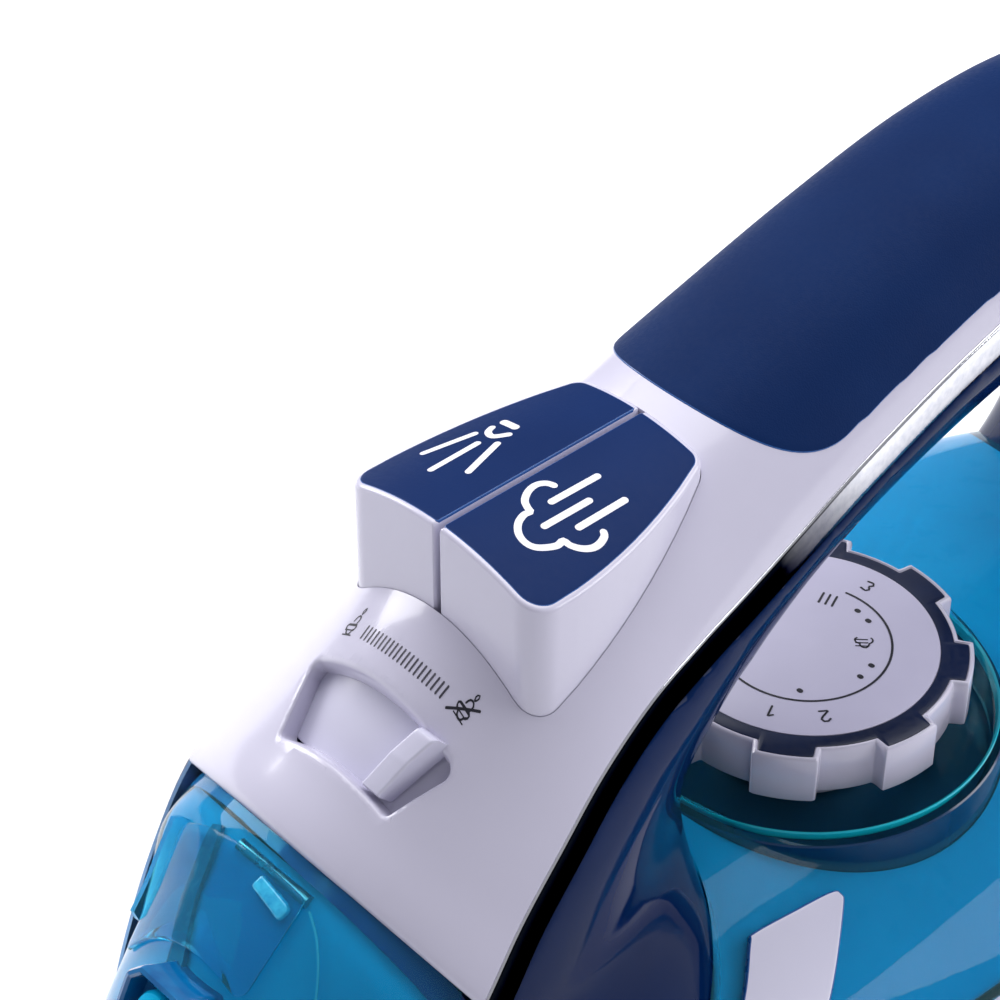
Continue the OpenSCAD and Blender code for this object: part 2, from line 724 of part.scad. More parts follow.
// Lobed disc, with its outer radius drawn in by d.
module lobed(d, z0, z1) {
    half = lobe_part * 180 / lobes - atan(d / gap_r);
    union() {
        translate([0, 0, z0]) cylinder(r = gap_r - d, h = z1 - z0);
        for (i = [0 : lobes - 1])
            translate([0, 0, z0]) rotate([0, 0, lobe_from + i * 360 / lobes - half])
                rotate_extrude(angle = 2 * half)
                    translate([gap_r - d - 1, 0]) square([lobe_r - gap_r + 1, z1 - z0]);
    }
}
knob_z = 48;          // underside of the dial's rim
knob_base_r = 16;
nose_lean = 0.0026;   // how fast the nose narrows with height
module dial_knob() {
    color(WHITE) translate([0, dial_y, 0]) difference() {
        union() {
            lobed(0, knob_z, dial_z);
            translate([0, 0, recess_z + 0.8]) cylinder(r = knob_base_r, h = knob_z - recess_z);
        }
        lobed(0.9, dial_z - 1.6, dial_z + 5);
        translate([0, 0, recess_z]) cylinder(r = knob_base_r - 2, h = 16);
        cylinder(r = shaft_r, h = 100);
    }
}
module dial_ring() {
    color("#0A1838") translate([0, dial_y, 0]) difference() {
        lobed(0.95, dial_z - 1.55, dial_z - 0.1);
        cylinder(r = face_r + 0.02, h = 80);
    }
}
module dial_face() {
    color(WHITE) translate([0, dial_y, dial_z - 1.55]) cylinder(r = face_r, h = 1.6);
}
shaft_r = 3.5;
module dial_shaft() {
    color(STEEL) translate([0, dial_y, 0]) {
        translate([0, 0, 17.5]) cylinder(r = shaft_r, h = dial_z - 1.65 - 17.5);
        translate([0, 0, 33]) cylinder(r = 4.6, h = 2);
    }
}
module thermostat() {
    color("#8C8F94") translate([0, dial_y, 0]) difference() {
        union() {
            translate([0, 0, plate_t + 1.1]) cylinder(r = 8, h = 8);
            translate([-5, -5, 14.5]) cube([10, 10, 6]);
        }
        translate([0, 0, 17.4]) cylinder(r = shaft_r + 0.06, h = 20);
    }
}
module thermal_fuse() {
    color("#D8CFA8") translate([0, 72, cover_z + 1.3]) {
        translate([-8, -3, 0]) cube([16, 6, 1]);
        translate([-6, 0, 3]) rotate([0, 90, 0]) cylinder(r = 2.1, h = 12);
    }
}

// ---- rear -------------------------------------------------------------------------------

lens_r = 3.6;
module pilot_axis() {
    translate([0, 133, 80]) rotate([-90, 0, 0]) children();
}
module pilot_lens() {
    color("#C23A2E", 0.8) pilot_axis() {
        cylinder(r = lens_r, h = 6.6);
        translate([0, 0, 6.6]) cylinder(r1 = lens_r, r2 = 2.6, h = 1);
    }
}
cover_x = 20;
cover_z0 = 30;
cover_z1 = 70;
module rear_window(grow) {
    translate([-cover_x - grow, 120, cover_z0 - grow])
        cube([2 * (cover_x + grow), 60, cover_z1 - cover_z0 + 2 * grow]);
}
module at_cover_screws() {
    for (z = [cover_z0 + 6, cover_z1 - 6]) translate([0, heel_y - 2.2, z]) rotate([90, 0, 0]) children();
}
module rear_cover() {
    color(NAVY) difference() {
        skin() intersection() {
            difference() {
                over_solid(17, 22, 0.3, 0);
                over_solid(17, 22, wall, 14);
            }
            rear_window(0);
        }
        at_cover_screws() cylinder(r = 1.7, h = 20, center = true);
        at_cover_screws() mirror([0, 0, 1]) cylinder(r = 3.2, h = 4);
    }
}
module rear_cover_screws() {
    color("#9A9DA2") at_cover_screws() {
        mirror([0, 0, 1]) cylinder(r = 3, h = 1.1);
        cylinder(r = 1.6, h = 9);
    }
}
module terminal_block() {
    color("#E8E2D2") difference() {
        translate([-14, 116, 30]) cube([28, 12, 14]);
        for (x = [-9, 0, 9]) translate([x, 110, 38]) rotate([-90, 0, 0]) cylinder(r = 2, h = 30);
    }
}
gland_y = 121;
gland_z = 121;
module gland_axis() {
    translate([0, gland_y, gland_z]) rotate([-52, 0, 0]) children();
}
module cord_gland() {
    color("#16294F") gland_axis() difference() {
        union() {
            sphere(r = 8.4);
            cylinder(r = 6.4, h = 15);
            rotate([0, 90, 0]) cylinder(r = 1.5, h = 18.8, center = true);
        }
        translate([0, 0, -12]) cylinder(r = cord_bore_r, h = 40);
    }
}
module gland_clip() {
    color("#C7CAD0") gland_axis() difference() {
        translate([0, 0, -11]) cylinder(r = 10.2, h = 8);
        translate([0, 0, -2]) sphere(r = 9.2);
        translate([0, 0, -20]) cylinder(r = 7, h = 20);
    }
}

soleplate();
heating_element();
steam_chamber_cover();
chamber_screws();
skirt();
tank_shell();
tank_floor();
tank_seal();
side_fin(1);  // side_fin_left
side_fin(-1);  // side_fin_right
fill_door();
door_pin();
nozzle_housing();
nozzle_tip();
upper_shell();
lower_handle();
chrome_trim(1);  // chrome_trim_left
chrome_trim(-1);  // chrome_trim_right
grip_pad();
button_body(1);  // steam_button
button_cap(1);  // steam_button_cap
plunger(1);  // steam_plunger
button_spring(1);  // steam_button_spring
button_body(-1);  // spray_button
button_cap(-1);  // spray_button_cap
plunger(-1);  // spray_plunger
button_spring(-1);  // spray_button_spring
pump(1);  // steam_pump
pump(-1);  // spray_pump
pump_bracket();
hose(steam_hose_run, 1.8);  // steam_hose
hose(spray_hose_run, 1.8);  // spray_hose
steam_slider();
slider_cradle();
valve_rod();
valve_seat();
dial_knob();
dial_ring();
dial_face();
dial_shaft();
thermostat();
thermal_fuse();
pilot_lens();
rear_cover();
rear_cover_screws();
terminal_block();
cord_gland();
gland_clip();
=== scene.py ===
"""Steam iron: detailed pieces, materials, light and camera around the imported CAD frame."""
import json
import math

import bmesh
import bpy
import numpy as np
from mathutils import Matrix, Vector
from mathutils.bvhtree import BVHTree


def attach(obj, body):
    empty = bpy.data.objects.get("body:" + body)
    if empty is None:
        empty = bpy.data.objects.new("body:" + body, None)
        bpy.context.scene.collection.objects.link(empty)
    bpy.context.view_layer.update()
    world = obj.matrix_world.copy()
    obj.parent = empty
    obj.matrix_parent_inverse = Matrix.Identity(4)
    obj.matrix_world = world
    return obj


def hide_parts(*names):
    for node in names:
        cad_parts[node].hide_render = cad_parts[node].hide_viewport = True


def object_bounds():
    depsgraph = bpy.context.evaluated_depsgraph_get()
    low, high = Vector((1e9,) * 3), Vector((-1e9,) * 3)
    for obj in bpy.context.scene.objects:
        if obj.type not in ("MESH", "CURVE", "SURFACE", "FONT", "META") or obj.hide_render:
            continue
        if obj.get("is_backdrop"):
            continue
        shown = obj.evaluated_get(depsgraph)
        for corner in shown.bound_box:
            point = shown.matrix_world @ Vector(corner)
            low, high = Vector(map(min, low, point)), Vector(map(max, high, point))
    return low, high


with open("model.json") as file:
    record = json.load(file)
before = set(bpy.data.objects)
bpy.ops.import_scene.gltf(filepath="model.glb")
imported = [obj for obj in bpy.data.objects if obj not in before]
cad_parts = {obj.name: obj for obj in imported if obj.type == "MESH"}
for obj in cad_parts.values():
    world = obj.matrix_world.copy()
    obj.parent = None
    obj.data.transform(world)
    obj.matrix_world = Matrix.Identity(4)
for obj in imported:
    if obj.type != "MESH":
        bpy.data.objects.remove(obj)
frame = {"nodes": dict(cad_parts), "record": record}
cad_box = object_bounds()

MM = 0.001

# ---- camera ------------------------------------------------------------------------------

CAM_BACK = Vector((0.573, -0.5206, 0.633))
camera = bpy.data.objects.new("camera", bpy.data.cameras.new("camera"))
bpy.context.scene.collection.objects.link(camera)
camera.data.lens = 108
camera.data.sensor_width = 36
camera.data.clip_start = 0.01
camera.data.clip_end = 20
camera.location = (0.2424, -0.2597, 0.3939)
camera.rotation_mode = "QUATERNION"
camera.rotation_quaternion = (-CAM_BACK).to_track_quat("-Z", "Y")
bpy.context.scene.camera = camera

# ---- lines of the housing, in mm, as in the CAD ------------------------------------------

SOLE_L, SOLE_W, SKIRT_Z = 283.0, 118.0, 22.0
SIDE_GAP, WALL, STRIP_H = 3.6, 2.2, 7.0
GRIP = 8
DIAL_Y, DIAL_Z, FACE_R, LOBE_R, GAP_R = 29.3, 57.8, 22.7, 28.4, 26.0
RECESS_R, RECESS_Z = 33.0, 37.0
BUTTON_Z, CROWN_K = 128.0, 1 / 97.6
SLOPE, SLIDER_Y, SLIDER_Z, SLIDE_R = math.radians(43.7), -66.7, 99.4, 39.0

# y, z, half width of the strip's upper edge; y, z of the crest; roundness across and along
TRIM = np.array([
    [-99, 23, 29.4, -106, 30, 1, 2], [-95, 34, 30.6, -102, 42, 1, 2],
    [-89.5, 47, 32, -96, 56, 1, 2], [-82, 61, 33.2, -89, 71, 1, 2],
    [-73.5, 73.4, 33.6, -80.6, 85.8, 1, 2], [-64.5, 82, 31.6, -72.5, 93.6, 1, 2],
    [-55, 90, 30, -64, 101.7, 1, 2], [-45.5, 97, 28.2, -54, 111, 1.05, 2],
    [-34.5, 102.6, 26.4, -42, 117, 1.15, 2.1], [-23, 106.2, 25, -29, 122, 1.3, 2.2],
    [-12, 109.4, 24, -16, 126.2, 1.4, 2.3], [0, 113.4, 23, -4, 129.6, 1.6, 2.4],
    [15, 118.8, 22, 11, 134.2, 1.7, 2.4], [38, 126, 21, 35, 141, 1.8, 2.4],
    [62, 131, 20.5, 61, 146.2, 1.9, 2.4], [84, 131.5, 20.5, 87, 146.6, 1.9, 2.4],
    [102, 126, 21, 111, 139.5, 1.9, 2.4], [114, 114, 22, 127, 123, 1.9, 2.4],
    [121, 98, 23.6, 136, 103.5, 1.9, 2.5], [125, 79, 25.6, 139.5, 82, 1.9, 2.6],
    [127, 60, 28.6, 140.6, 61.5, 1.9, 2.7], [127.5, 42, 33.5, 141, 43, 1.9, 2.8],
    [127.5, 23, 41, 141.2, 23, 1.9, 2.9]], float)
UNDER = np.array([
    [-14, 84], [-4, 80], [2, 86], [10, 92.4], [24, 97.5], [44, 101.5], [64, 104.5],
    [80, 104.5], [92, 100], [100, 91], [104, 80], [106, 66], [107, 52], [107.5, 38],
    [108, 22]], float)
NECK = np.array([
    [21, -97, 49, -9, 3.4], [28, -95, 46, -9, 3.2], [36, -91.5, 43, -9, 3],
    [42, -89, 40, -9, 2.8], [50, -84.5, 36.6, -8.6, 2.35], [58, -80, 34.4, -8, 2.05],
    [67, -74, 33.4, -7, 1.95], [77, -66, 31.8, -4, 2], [85, -57, 30, 2, 2.1],
    [91, -49, 28.6, 8, 2.2], [98.2, -38.5, 26.4, 16, 2.4]], float)
DECK = np.array([
    [-100, 34, 1.55], [-80, 40, 1.55], [-60, 44, 1.55], [-40, 47, 1.55], [-20, 48, 1.55],
    [0, 48, 1.55], [30, 48, 1.55], [60, 48, 1.6], [90, 47, 1.7], [112, 45, 1.9],
    [126, 42, 2.2]], float)
NOSE = np.array([
    [-134, 22.6, 2, 0], [-127, 25, 2, 0], [-120, 29.5, 1.95, 0], [-114, 37.5, 1.85, 0],
    [-110, 46.5, 1.8, 0], [-107.5, 55, 1.75, 0], [-105, 62.5, 1.7, 0], [-102, 67.8, 1.7, 0],
    [-98, 71.6, 1.85, 0], [-93, 75.5, 2.1, 0.0015], [-88, 79.3, 2.6, 0.0045],
    [-84, 82.6, 3.9, 0.008], [-80.4, 85.2, 7, 0.0105], [-76, 87, 8, 0.011],
    [-68, 90, 8, 0.011]], float)
FIN = np.array([
    [29.5, -12.4], [30.4, -4], [31.4, 3.6], [32.6, 4.8], [34.4, 3.6], [42.5, -7.5], [49, -20],
    [54, -34], [52, -42], [47, -38], [42, -31], [35.5, -20.5], [30.2, -14]], float)


def catmull(a, b, c, d, k):
    """The k points of a Catmull-Rom curve from b up to c, with a before and d after them."""
    return [b + t * ((c - a) / 2 + t * (a - 2.5 * b + 2 * c - d / 2
                                        + t * (1.5 * (b - c) + (d - a) / 2)))
            for t in (j / k for j in range(k))]


def smooth(rows, k):
    """Catmull-Rom curve through rows, with k steps from row to row."""
    rows = np.asarray(rows, float)
    n = len(rows)
    out = []
    for i in range(n - 1):
        out += catmull(rows[max(i - 1, 0)], rows[i], rows[i + 1], rows[min(i + 2, n - 1)], k)
    return np.array(out + [rows[-1]])


def closed_smooth(points, k):
    """Closed Catmull-Rom curve through points."""
    p = np.asarray(points, float)
    n = len(p)
    out = []
    for i in range(n):
        out += catmull(p[i - 1], p[i], p[(i + 1) % n], p[(i + 2) % n], k)
    return np.array(out)


def unit(v):
    v = np.asarray(v, float)
    return v / np.maximum(np.linalg.norm(v, axis=-1, keepdims=True), 1e-12)


def signed_power(v, p):
    return np.sign(v) * np.abs(v) ** p


def half_w(y):
    """Half width of the soleplate."""
    t = y + SOLE_L / 2
    if t <= 0 or t >= SOLE_L:
        return 0.0
    if t < 185:
        return SOLE_W / 2 * (1 - (1 - t / 185) ** 2) ** 0.62
    return SOLE_W / 2 * (1 - ((t - 185) / (SOLE_L - 185)) ** 4) ** 0.5


def over(row, d, angles):
    """Arc of the white shell over one row of TRIM, inset by d."""
    edge, top = row[0:2], row[3:5]
    crest = top - d * unit(top - edge)
    v = np.sin(angles) ** (2 / row[5])
    x = (row[2] - d) * signed_power(np.cos(angles), 2 / row[6])
    yz = edge[None, :] + (crest - edge)[None, :] * v[:, None]
    return np.column_stack([x, yz])


def hump(rows, d, angles, k=6, lean=0.0):
    """Rings of the tank: arcs from side to side at each station."""
    rings = []
    for y, z, p, *fall in smooth(rows, k):
        w = max(1.5, half_w(y) - SIDE_GAP - d)
        h = max(0.4, z - SKIRT_Z - d)
        c = signed_power(np.cos(angles), 2 / p) * w
        h = h - (fall[0] if fall else 0) * c ** 2
        s = np.abs(np.sin(angles)) ** (2 / p) * h
        rings.append(np.column_stack([c * (1 - lean * s), np.full_like(c, y), s + SKIRT_Z]))
    return np.array(rings)


# ---- meshes ------------------------------------------------------------------------------

def link(name, verts, faces):
    mesh = bpy.data.meshes.new(name)
    mesh.from_pydata([tuple(float(c) * MM for c in v) for v in verts], [], faces)
    mesh.validate()
    mesh.update()
    ob = bpy.data.objects.new(name, mesh)
    bpy.context.scene.collection.objects.link(ob)
    return ob


def grid(n, m, wrap=False, start=0):
    """Quads between n rings of m points each."""
    cols = m if wrap else m - 1
    return [(start + i * m + j, start + i * m + (j + 1) % m,
             start + (i + 1) * m + (j + 1) % m, start + (i + 1) * m + j)
            for i in range(n - 1) for j in range(cols)]


def loft(name, rings, caps=True):
    """Closed skin through rings of equal length."""
    rings = np.asarray(rings, float)
    n, m = rings.shape[:2]
    verts = list(rings.reshape(-1, 3))
    faces = grid(n, m, wrap=True)
    if caps:
        for r, flip in ((0, True), (n - 1, False)):
            verts.append(rings[r].mean(0))
            c = len(verts) - 1
            for j in range(m):
                a, b = r * m + j, r * m + (j + 1) % m
                faces.append((c, b, a) if flip else (c, a, b))
    ob = link(name, verts, faces)
    outward(ob)
    return ob


def outward(ob):
    bm = bmesh.new()
    bm.from_mesh(ob.data)
    bmesh.ops.recalc_face_normals(bm, faces=bm.faces)
    bm.to_mesh(ob.data)
    bm.free()


def soften(ob, angle=35):
    """Smooth shading with sharp edges where faces meet at more than angle."""
    bm = bmesh.new()
    bm.from_mesh(ob.data)
    limit = math.radians(angle)
    for f in bm.faces:
        f.smooth = True
    for e in bm.edges:
        if len(e.link_faces) == 2:
            e.smooth = e.calc_face_angle(0) < limit
    bm.to_mesh(ob.data)
    bm.free()
    return ob


def settle(ob):
    """Applies an object's modifiers to its mesh."""
    dg = bpy.context.evaluated_depsgraph_get()
    mesh = bpy.data.meshes.new_from_object(ob.evaluated_get(dg))
    old = ob.data
    ob.modifiers.clear()
    ob.data = mesh
    bpy.data.meshes.remove(old)
    return ob


def cut(ob, tool, how="DIFFERENCE", keep=False):
    mod = ob.modifiers.new("cut", "BOOLEAN")
    mod.operation = how
    mod.object = tool
    mod.solver = "MANIFOLD"
    settle(ob)
    if not keep:
        bpy.data.objects.remove(tool)
    return ob


def remesh(ob, voxel, rounds, factor=0.5):
    mod = ob.modifiers.new("remesh", "REMESH")
    mod.mode = "VOXEL"
    mod.voxel_size = voxel * MM
    if rounds:
        rub = ob.modifiers.new("rub", "SMOOTH")
        rub.factor = factor
        rub.iterations = rounds
    return settle(ob)


def join(name, obs):
    bm = bmesh.new()
    for o in obs:
        bm.from_mesh(o.data)
    mesh = bpy.data.meshes.new(name)
    bm.to_mesh(mesh)
    bm.free()
    for o in obs:
        bpy.data.objects.remove(o)
    ob = bpy.data.objects.new(name, mesh)
    bpy.context.scene.collection.objects.link(ob)
    return ob


def prism(name, outline, z0, z1, frame_fn=None):
    """Extruded outline; frame_fn maps (x, y, z) into the row frame."""
    o = np.asarray(outline, float)
    rings = [np.column_stack([o, np.full(len(o), z)]) for z in (z0, z1)]
    if frame_fn:
        rings = [np.array([frame_fn(*p) for p in r]) for r in rings]
    return loft(name, rings)


def fillet(points, radii, n=7):
    """Closed outline with its corners rounded to the given radii."""
    p = np.asarray(points, float)
    out = []
    count = len(p)
    for i in range(count):
        r = radii[i]
        if r <= 0:
            out.append(p[i])
            continue
        a, b = unit(p[i - 1] - p[i]), unit(p[(i + 1) % count] - p[i])
        half = math.acos(max(-1, min(1, float(a @ b)))) / 2
        reach = r / math.tan(half)
        centre = p[i] + unit(a + b) * (r / math.sin(half))
        s, e = p[i] + a * reach - centre, p[i] + b * reach - centre
        a0 = math.atan2(s[1], s[0])
        turn = (math.atan2(e[1], e[0]) - a0 + math.pi) % (2 * math.pi) - math.pi
        for j in range(n + 1):
            t = a0 + turn * j / n
            out.append(centre + r * np.array([math.cos(t), math.sin(t)]))
    return np.array(out)


def resample(outline, count):
    p = np.vstack([outline, outline[:1]])
    s = np.concatenate([[0], np.cumsum(np.linalg.norm(np.diff(p, axis=0), axis=1))])
    t = np.linspace(0, s[-1], count, endpoint=False)
    return np.column_stack([np.interp(t, s, p[:, k]) for k in range(p.shape[1])])


def inset(outline, d):
    """Outline moved inwards by d (an array or a number); the outline runs anticlockwise."""
    o = np.asarray(outline, float)
    t = unit(np.roll(o, -1, axis=0) - np.roll(o, 1, axis=0))
    inward = np.column_stack([-t[:, 1], t[:, 0]])
    return o + inward * (np.asarray(d)[:, None] if np.ndim(d) else d)


def anticlockwise(outline):
    o = np.asarray(outline, float)
    area = np.sum(o[:, 0] * np.roll(o[:, 1], -1) - np.roll(o[:, 0], -1) * o[:, 1])
    return o if area > 0 else o[::-1]


def tree_of(ob):
    bm = bmesh.new()
    bm.from_mesh(ob.data)
    tree = BVHTree.FromBMesh(bm)
    bm.free()
    return tree


def drop(tree, x, y, direction=(0, 0, -1), start=None):
    """Point and normal where a ray meets a mesh, in mm."""
    d = Vector(direction).normalized()
    origin = Vector(start) * MM if start is not None else Vector((x, y, 200)) * MM
    hit, normal, _, _ = tree.ray_cast(origin, d)
    if hit is None:
        return None, None
    if normal.dot(d) > 0:
        normal = -normal
    return np.array(hit) / MM, np.array(normal)


def stroke_rows(points, width, step=0.35):
    """Rows across a pen stroke with round ends: lists of (x, y)."""
    p = np.asarray(points, float)
    s = np.concatenate([[0], np.cumsum(np.linalg.norm(np.diff(p, axis=0), axis=1))])
    count = max(3, int(s[-1] / step) + 2)
    t = np.linspace(0, s[-1], count)
    line = np.column_stack([np.interp(t, s, p[:, k]) for k in range(2)])
    tangent = unit(np.gradient(line, axis=0))
    normal = np.column_stack([-tangent[:, 1], tangent[:, 0]])
    rows = []
    r = width / 2
    ends = [math.radians(a) for a in (80, 60, 38, 18)]
    for a in ends:
        rows.append((line[0] - tangent[0] * r * math.sin(a), normal[0] * r * math.cos(a)))
    for q, nn in zip(line, normal):
        rows.append((q, nn * r))
    for a in reversed(ends):
        rows.append((line[-1] + tangent[-1] * r * math.sin(a), normal[-1] * r * math.cos(a)))
    return [[c - side, c, c + side] for c, side in rows]


def print_on(name, strokes, place, lift=0.04):
    """Thin printed strokes laid on a surface; place maps (x, y) to a point and a normal."""
    verts, faces = [], []
    for points, width in strokes:
        rows = stroke_rows(points, width)
        start = len(verts)
        flat = []
        for row in rows:
            for q in row:
                pos, nrm = place(float(q[0]), float(q[1]))
                flat.append(pos + nrm * lift)
        verts.extend(flat)
        faces.extend(grid(len(rows), 3, start=start))
    ob = link(name, verts, faces)
    outward_to(ob)
    return ob


def outward_to(ob, direction=(0, 0, 1)):
    """Turns an open patch so that its faces look the given way."""
    d = Vector(direction)
    total = sum((p.normal.dot(d) * p.area for p in ob.data.polygons), 0.0)
    if total < 0:
        ob.data.flip_normals()


def patch(name, outline, place, edge, depth, steps=14, material_edge=False):
    """Crowned skin over an outline: place(u, v) gives point and normal, edge is its rounded
    rim's radius, and depth is how far its sides go down."""
    outline = anticlockwise(outline)
    centre = outline.mean(0)
    rings, lifts = [], []
    inner = inset(outline, edge)
    for t in np.linspace(0.04, 1, steps):
        rings.append(centre + (inner - centre) * t)
        lifts.append(0.0)
    for a in (30, 60, 90):
        a = math.radians(a)
        rings.append(inset(outline, edge * (1 - math.sin(a))))
        lifts.append(-edge * (1 - math.cos(a)))
    rings.append(outline)
    lifts.append(-depth)
    verts, m = [], len(outline)
    pos, nrm = place(float(centre[0]), float(centre[1]))
    verts.append(pos)
    for ring, lift in zip(rings, lifts):
        for q in ring:
            pos, nrm = place(float(q[0]), float(q[1]))
            verts.append(pos + nrm * lift)
    faces = [(0, 1 + j, 1 + (j + 1) % m) for j in range(m)]
    faces += grid(len(rings), m, wrap=True, start=1)
    last = len(verts) - m
    verts.append(np.mean(verts[last:], axis=0))
    faces += [(len(verts) - 1, last + (j + 1) % m, last + j) for j in range(m)]
    ob = link(name, verts, faces)
    outward(ob)
    if material_edge:
        first, stop = (len(rings) - 5) * m + m, len(faces)
        for i, p in enumerate(ob.data.polygons):
            p.material_index = 1 if first <= i < stop else 0
    return ob


def torus_loft(name, rings):
    """Loft that closes on itself both round each ring and from the last ring to the first."""
    rings = np.asarray(rings, float)
    n, m = rings.shape[:2]
    faces = grid(n, m, wrap=True) + [
        ((n - 1) * m + j, (n - 1) * m + (j + 1) % m, (j + 1) % m, j) for j in range(m)]
    ob = link(name, list(rings.reshape(-1, 3)), faces)
    outward(ob)
    return ob


def round_line(r, z, k=360):
    """Level circle about the dial's axis."""
    a = np.linspace(0, 2 * math.pi, k, endpoint=False)
    return np.column_stack([r * np.cos(a), r * np.sin(a) + DIAL_Y, np.full(k, z)])


def turned(name, profile, centre=(0, 0), steps=160, place=None):
    """Solid turned from an (r, z) profile that starts and ends on the axis."""
    rings = []
    angles = np.linspace(0, 2 * math.pi, steps, endpoint=False)
    for r, z in profile:
        rings.append([(centre[0] + max(r, 0.001) * math.cos(a),
                       centre[1] + max(r, 0.001) * math.sin(a), z) for a in angles])
    if place:
        rings = [[place(*p) for p in ring] for ring in rings]
    return loft(name, rings)


# ---- materials ---------------------------------------------------------------------------

def srgb(*rgb):
    """8-bit sRGB as linear RGBA."""
    return tuple(((c / 255 + 0.055) / 1.055) ** 2.4 for c in rgb) + (1.0,)


def ramp_along(nt, coords, axis, stops):
    """Colour that changes along one axis of the object: stops are (place in mm, colour)."""
    split = nt.nodes.new("ShaderNodeSeparateXYZ")
    nt.links.new(coords.outputs["Object"], split.inputs[0])
    reach = nt.nodes.new("ShaderNodeMapRange")
    reach.inputs["From Min"].default_value = stops[0][0] * MM
    reach.inputs["From Max"].default_value = stops[-1][0] * MM
    nt.links.new(split.outputs[axis], reach.inputs["Value"])
    ramp = nt.nodes.new("ShaderNodeValToRGB")
    span = stops[-1][0] - stops[0][0]
    for i, (at, colour) in enumerate(stops):
        t = (at - stops[0][0]) / span
        e = ramp.color_ramp.elements[i] if i in (0, 1) else ramp.color_ramp.elements.new(t)
        if i == 1:
            e.position = t
        e.color = colour
    nt.links.new(reach.outputs["Result"], ramp.inputs["Fac"])
    return ramp.outputs["Color"]


def finish_of(name, low, high, rough=(0.2, 0.3), size=60, grain=1500, bump=0.02,
              stretch=(1, 1, 1), along=None, **sockets):
    """Material whose colour drifts from low to high, with a fine grain in its gloss and relief."""
    mat = bpy.data.materials.new(name)
    mat.use_nodes = True
    nt = mat.node_tree
    new, wire = nt.nodes.new, nt.links.new
    bsdf = nt.nodes["Principled BSDF"]
    coords = new("ShaderNodeTexCoord")
    mapping = new("ShaderNodeMapping")
    mapping.inputs["Scale"].default_value = stretch
    wire(coords.outputs["Object"], mapping.inputs["Vector"])

    def noise(scale, detail=3):
        n = new("ShaderNodeTexNoise")
        n.inputs["Scale"].default_value = scale
        n.inputs["Detail"].default_value = detail
        wire(mapping.outputs["Vector"], n.inputs["Vector"])
        return n.outputs["Fac"]

    mix = new("ShaderNodeMix")
    mix.data_type = "RGBA"
    mix.inputs[6].default_value = low
    mix.inputs[7].default_value = high
    drift = new("ShaderNodeMapRange")
    drift.inputs["From Min"].default_value = 0.3
    drift.inputs["From Max"].default_value = 0.7
    wire(noise(size), drift.inputs["Value"])
    wire(drift.outputs["Result"], mix.inputs[0])
    colour = mix.outputs[2]
    if along:
        tint = new("ShaderNodeMix")
        tint.data_type = "RGBA"
        tint.blend_type = "MULTIPLY"
        tint.inputs[0].default_value = 1
        wire(colour, tint.inputs[6])
        wire(ramp_along(nt, coords, *along), tint.inputs[7])
        colour = tint.outputs[2]
    wire(colour, bsdf.inputs["Base Color"])
    gloss = new("ShaderNodeMapRange")
    gloss.inputs["From Min"].default_value = 0.35
    gloss.inputs["From Max"].default_value = 0.65
    gloss.inputs["To Min"].default_value, gloss.inputs["To Max"].default_value = rough
    wire(noise(grain / 3), gloss.inputs["Value"])
    wire(gloss.outputs["Result"], bsdf.inputs["Roughness"])
    relief = new("ShaderNodeBump")
    relief.inputs["Strength"].default_value = bump
    relief.inputs["Distance"].default_value = 0.0004
    wire(noise(grain, 2), relief.inputs["Height"])
    wire(relief.outputs["Normal"], bsdf.inputs["Normal"])
    for key, value in sockets.items():
        bsdf.inputs[key.replace("_", " ")].default_value = value
    return mat


WHITE = finish_of("white_plastic", srgb(197, 194, 214), srgb(201, 198, 218), (0.2, 0.23),
                  size=22, grain=1800, bump=0.008, Coat_Weight=0.3, Coat_Roughness=0.08)
PALE = finish_of("pale_plastic", srgb(200, 198, 219), srgb(206, 204, 224), (0.2, 0.24),
                 size=24, grain=2000, bump=0.01)
PRINTED = finish_of("white_ink", srgb(226, 226, 238), srgb(236, 236, 246), (0.3, 0.4),
                    size=300, grain=4000, bump=0.02)
CAP = finish_of("cap_navy", srgb(10, 36, 84), srgb(13, 40, 90), (0.38, 0.46), size=40,
                grain=3000, bump=0.05, Specular_IOR_Level=0.08)
PAD = finish_of("pad_navy", srgb(9, 35, 80), srgb(12, 40, 87), (0.5, 0.6), size=40,
                grain=3600, bump=0.12, Specular_IOR_Level=0.06)
# On the fins this blue edge is painted shade round the white fin; on the caps and the pad it is their
# blue edge line.
EDGE = finish_of("edge_blue", srgb(26, 78, 146), srgb(32, 88, 158), (0.25, 0.35), size=80)
# Painted reflection along Z: the navy turns darker and more teal towards the bottom.
NAVY = finish_of("navy_gloss", srgb(6, 26, 66), srgb(9, 34, 78), (0.04, 0.07), size=26,
                 grain=900, bump=0.006, along=("Z", [
                     (20, srgb(110, 235, 240)), (60, srgb(160, 235, 245)),
                     (100, srgb(255, 255, 255)), (130, srgb(255, 255, 255))]), IOR=1.15)
INK = finish_of("ring_navy", srgb(4, 17, 46), srgb(8, 26, 62), (0.3, 0.4), size=60, grain=2600)
DISC = finish_of("dial_disc", srgb(184, 181, 206), srgb(190, 187, 212), (0.32, 0.42), size=60,
                 grain=2600, bump=0.02)
MARK = finish_of("dark_ink", srgb(14, 14, 26), srgb(30, 30, 44), (0.4, 0.5), size=400)
SCALE = finish_of("scale_ink", srgb(58, 56, 68), srgb(78, 76, 88), (0.4, 0.5), size=900)
TANK = finish_of("tank_clear", srgb(96, 222, 246), srgb(108, 226, 250), (0.01, 0.03), size=20,
                 grain=500, bump=0.004, Transmission_Weight=0.95, IOR=1.22)
# Painted shade along Z: the tank's inner body darkens towards the bottom.
CORE = finish_of("tank_inner", srgb(0, 156, 206), srgb(0, 170, 218), (0.25, 0.4), size=22,
                 grain=700, bump=0.02, Specular_IOR_Level=0.1, along=("Z", [
                     (22, srgb(200, 232, 242)), (34, srgb(240, 248, 250)),
                     (50, srgb(255, 255, 255)), (88, srgb(255, 255, 255))]))
